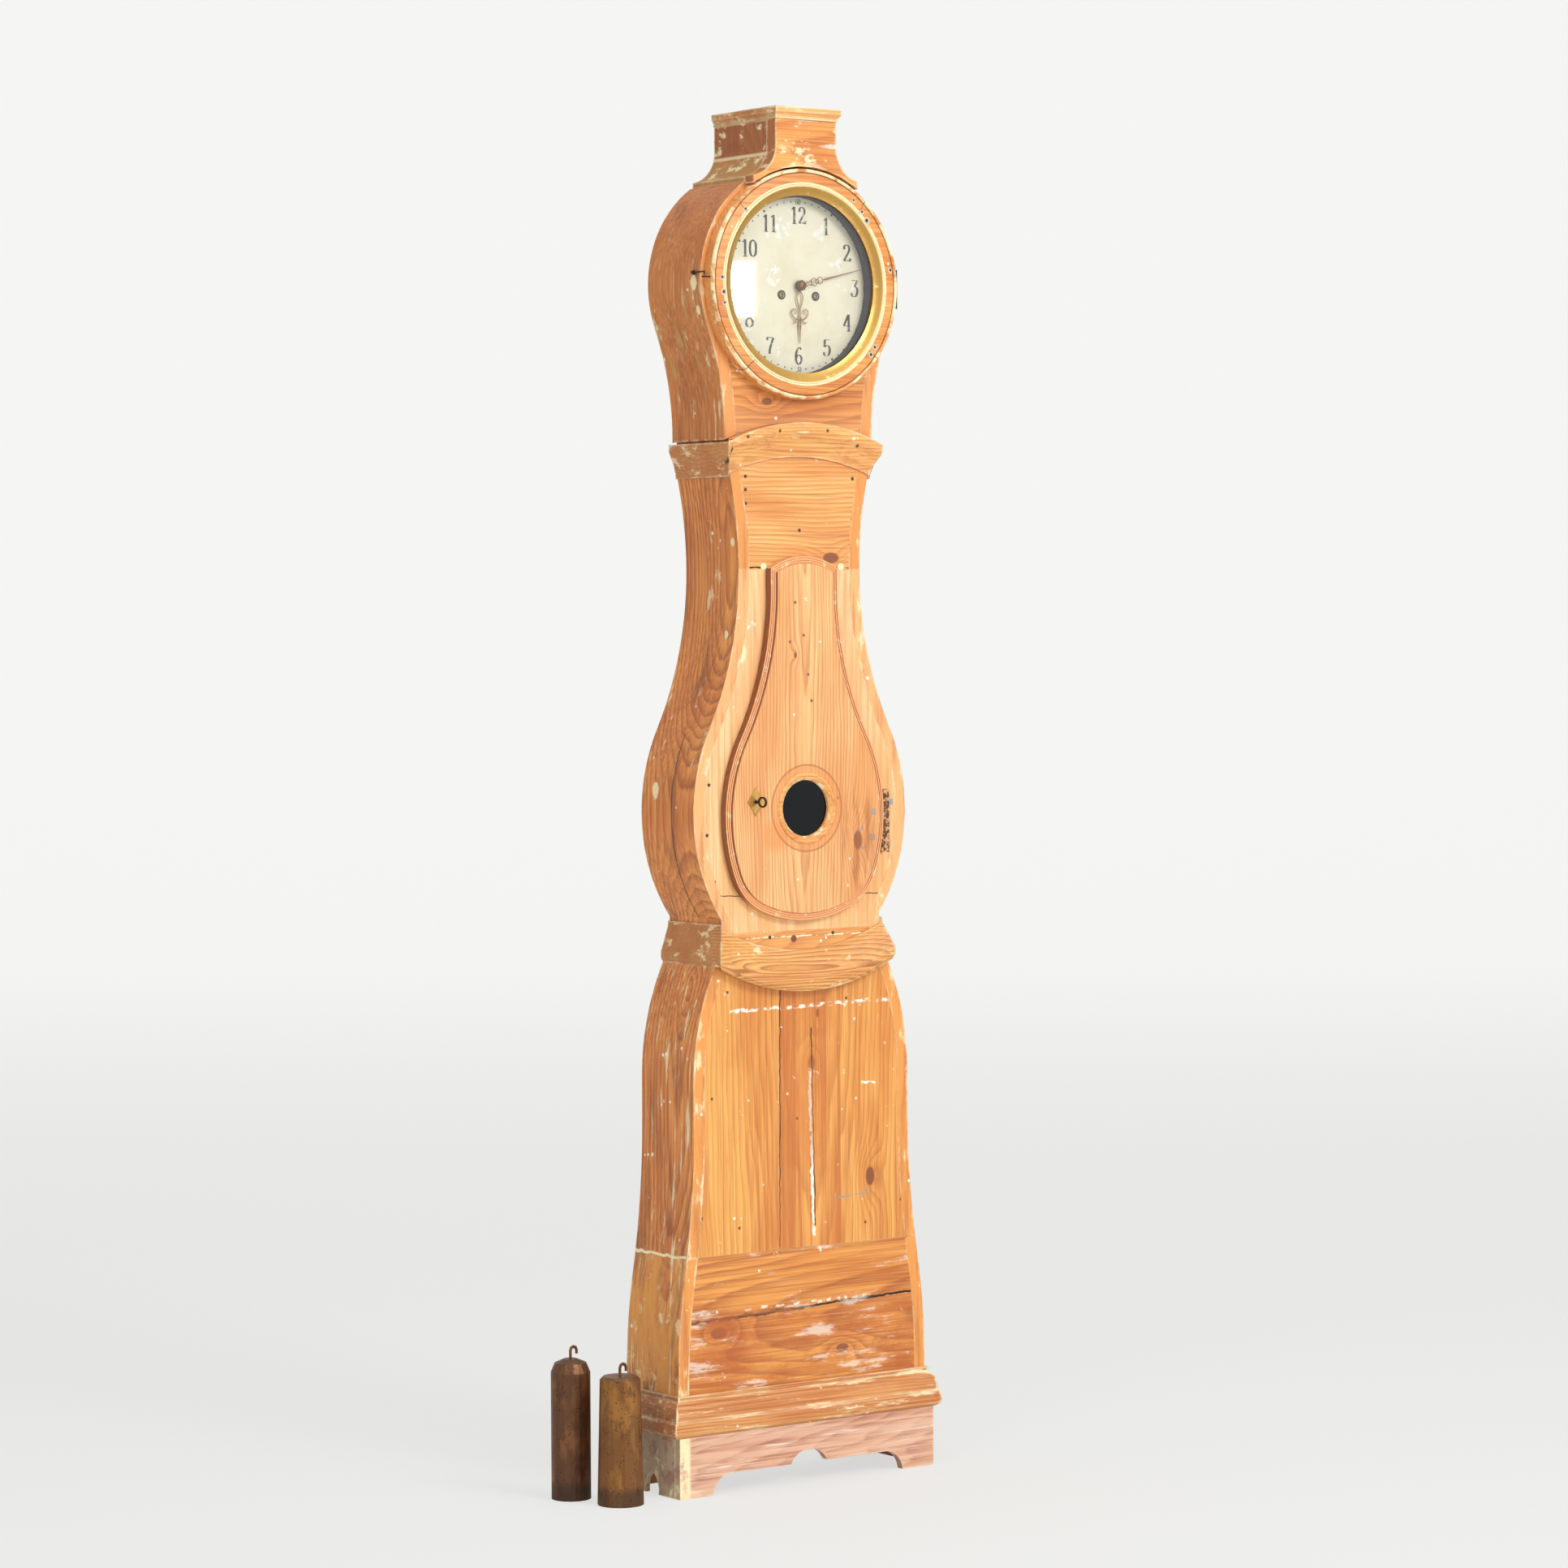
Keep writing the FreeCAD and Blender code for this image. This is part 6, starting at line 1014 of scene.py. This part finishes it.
def door_panel(outline, band, hole_radius, hole_count):
    """A panel with a round hole. The band is its moulded edge: insets of the outline, each at its Y."""
    points, faces = [], []
    for by, y in band:
        points += [(p.x, y, p.y) for p in inset(outline, by)]
    count = len(outline)
    for start in range(0, (len(band) - 1) * count, count):
        for i in range(count):
            n = (i + 1) % count
            faces.append((start + i, start + count + i, start + count + n, start + n))
    last = (len(band) - 1) * count
    first_hole = len(points)
    turns = [2 * math.pi * i / hole_count for i in range(hole_count)]
    hole = [(LENS.x + hole_radius * math.cos(t), LENS.z + hole_radius * math.sin(t)) for t in turns]
    for y in (band[-1][1], band[0][1]):
        points += [(x, y, z) for x, z in hole]
    inner = [(x, z) for x, y, z in points[last:first_hole]]
    outer = [(p.x, p.y) for p in outline]
    for loop, first, hole_start, flip in ((inner, last, first_hole, False),
                                          (outer, 0, first_hole + hole_count, True)):
        flat = [[Vector((x, z, 0)) for x, z in line] for line in (loop, hole)]
        for triangle in geometry.tessellate_polygon(flat):
            face = tuple(first + i if i < len(loop) else hole_start + i - len(loop) for i in triangle)
            faces.append(face[::-1] if flip else face)
    for i in range(hole_count):
        here, there = first_hole + i, first_hole + (i + 1) % hole_count
        faces.append((here, there, there + hole_count, here + hole_count))
    return points, faces


face_y, band_y = door_low.y, door_low.y + 0.0025
door_band = [(0.0, door_high.y)] + [(by, band_y + depth) for by, depth in (
    (0.0, 0.0012), (0.0008, 0.0003), (0.0018, 0.0), (0.003, 0.0003), (0.0036, 0.0012), (0.0042, 0.0004),
    (0.0052, 0.0), (0.0064, 0.0003), (0.007, 0.0012), (0.0076, 0.0004), (0.0088, 0.0001), (0.01, 0.0006),
    (0.0106, 0.001))] + [(0.011, face_y + 0.0008), (0.0118, face_y)]
panel = piece("door_panel_moulded", *door_panel(door_outline(band_y), door_band, 0.0535, 72),
              door.finish(0.5, 0.001), "door", "door_pine", 30.0)
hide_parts("door_panel")

lens = pine("pine_lens_ring", "x", (1.036, -0.12, 0.0), 0.05, 0.005, HONEY, 107.0, lines=0.5)
lens_lip = lens.spot(LENS.x, LENS.z, 0.0455)
worn(lens, CREAM, 50, 0.46, 0.58, 108.0, 0.8, lift=0.3, within=lens_lip)
lens_low, lens_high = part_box("lens_ring")
lens_profile = section(lens_low.y, lens_high.y, 0.0428, [
    (0.055, 0.0022), (0.0544, 0.001), (0.0528, 0.0002), (0.0508, 0.0), (0.0494, 0.0006), (0.0486, 0.0016),
    (0.0474, 0.0018), (0.0462, 0.0022), (0.0452, 0.0036), (0.044, 0.005), (0.043, 0.0058)])
lens_ring = piece("lens_ring_turned", *lathe(lens_profile, LENS, 120), lens.finish(0.4, 0.0), "door",
                  "ring_wood", 40.0)
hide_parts("lens_ring")

# Room: a white floor that bends up behind the clock, bright to the camera and through glass
SEEN_RAYS = ("Is Camera Ray", "Is Glossy Ray", "Is Transmission Ray")
HALF_WIDTH, NEAR_END, BEND_START, BEND_RADIUS, TOP = 30.0, -40.0, 10.0, 3.0, 30.0
BEND_STEPS = 24

paper = Net("floor_white", tone(243, 244, 241), 0.75)
floor_mat = paper.finish(0.0, 0.0)
paths = paper.node("ShaderNodeLightPath")
seen = sum((Val(paper, paths.outputs[ray]) for ray in SEEN_RAYS), 0.0)
glow = paper.node("ShaderNodeEmission")
glow.inputs["Color"].default_value = tone(254, 254, 252)
paper.put(glow.inputs["Strength"], paper.smooth(paper.y, 0.5, 12.0) * 0.2 + 0.82)
blend = paper.node("ShaderNodeMixShader")
paper.put(blend.inputs[0], paper.math("MINIMUM", seen, 1.0) * 0.8)
paper.put(blend.inputs[1], paper.bsdf.outputs[0])
paper.put(blend.inputs[2], glow.outputs[0])
paper.put(paper.tree.nodes["Material Output"].inputs["Surface"], blend.outputs[0])

rows = [(NEAR_END, 0.0), (BEND_START, 0.0)]
for step in range(1, BEND_STEPS + 1):
    angle = math.pi / 2 * step / BEND_STEPS
    rows.append((BEND_START + BEND_RADIUS * math.sin(angle), BEND_RADIUS - BEND_RADIUS * math.cos(angle)))
rows.append((BEND_START + BEND_RADIUS, TOP))
floor = bpy.data.objects.new("floor", bpy.data.meshes.new("floor"))
floor_points = [(x, y, z) for y, z in rows for x in (-HALF_WIDTH, HALF_WIDTH)]
floor_faces = [(2 * i, 2 * i + 1, 2 * i + 3, 2 * i + 2) for i in range(len(rows) - 1)]
floor.data.from_pydata(floor_points, [], floor_faces)
floor.data.materials.append(floor_mat)
floor.data.polygons.foreach_set("use_smooth", [True] * len(floor.data.polygons))
floor.rotation_euler = (0, 0, math.radians(-36.2))
bpy.context.scene.collection.objects.link(floor)

# World: white, and brighter to the camera and through glass than as a light
world = bpy.data.worlds.new("studio")
bpy.context.scene.world = world
world.use_nodes = True
sky = world.node_tree
sky.nodes["Background"].inputs["Color"].default_value = (1.0, 1.0, 1.0, 1)
rays = sky.nodes.new("ShaderNodeLightPath")
total = None
for ray in SEEN_RAYS:
    adder = sky.nodes.new("ShaderNodeMath")
    adder.operation = "ADD"
    adder.use_clamp = True
    adder.inputs[1].default_value = 0.0
    sky.links.new(rays.outputs[ray], adder.inputs[0])
    if total:
        sky.links.new(total, adder.inputs[1])
    total = adder.outputs[0]
level = sky.nodes.new("ShaderNodeMapRange")
level.inputs["To Min"].default_value = 0.5
level.inputs["To Max"].default_value = 0.9
sky.links.new(total, level.inputs["Value"])
sky.links.new(level.outputs[0], sky.nodes["Background"].inputs["Strength"])


def area(name, place, target, width, height, power):
    """A light of a width and a height, from a place towards a target."""
    data = bpy.data.lights.new(name, "AREA")
    data.shape = "RECTANGLE"
    data.size, data.size_y = width, height
    data.energy = power
    made = bpy.data.objects.new(name, data)
    made.location = place
    made.rotation_mode = "QUATERNION"
    made.rotation_quaternion = (Vector(target) - Vector(place)).to_track_quat("-Z", "Y")
    bpy.context.scene.collection.objects.link(made)


area("key", (0.9, -4.6, 3.7), (0, 0, 1.0), 2.0, 1.8, 146)
area("low_key", (1.4, -5.0, 0.6), (0, 0, 0.9), 1.6, 1.0, 30)
area("fill", (-4.5, -2.5, 2.2), (0, 0, 1.1), 1.6, 2.6, 58)
area("sky", (0, -1.0, 4.6), (0, 0, 0), 5.0, 5.0, 60)
area("window", (2.74, -4.2, 2.18), (0, 0, 1.8), 0.16, 0.14, 1.2)

# Camera, fitted to the photo: degrees from the front, down and roll, place in metres, lens in mm
CAMERA_TURN, CAMERA_DOWN, CAMERA_ROLL = 36.213, 1.993, -0.314
CAMERA_PLACE = (-4.1903, -5.8174, 1.3182)
CAMERA_LENS = 105.97

azimuth, pitch, roll = (math.radians(angle) for angle in (CAMERA_TURN, CAMERA_DOWN, CAMERA_ROLL))
ahead = Vector((math.sin(azimuth) * math.cos(pitch), math.cos(azimuth) * math.cos(pitch), -math.sin(pitch)))
right = Vector((math.cos(azimuth), -math.sin(azimuth), 0))
up = right.cross(ahead)
right, up = right * math.cos(roll) + up * math.sin(roll), up * math.cos(roll) - right * math.sin(roll)
lens_data = bpy.data.cameras.new("camera")
lens_data.lens = CAMERA_LENS
lens_data.sensor_width = 36.0
lens_data.clip_end = 200.0
camera = bpy.data.objects.new("camera", lens_data)
turned = Matrix((right, up, -ahead)).transposed().to_4x4()
camera.matrix_world = Matrix.Translation(CAMERA_PLACE) @ turned
bpy.context.scene.collection.objects.link(camera)
bpy.context.scene.camera = camera
bpy.context.scene.view_settings.view_transform = "Standard"
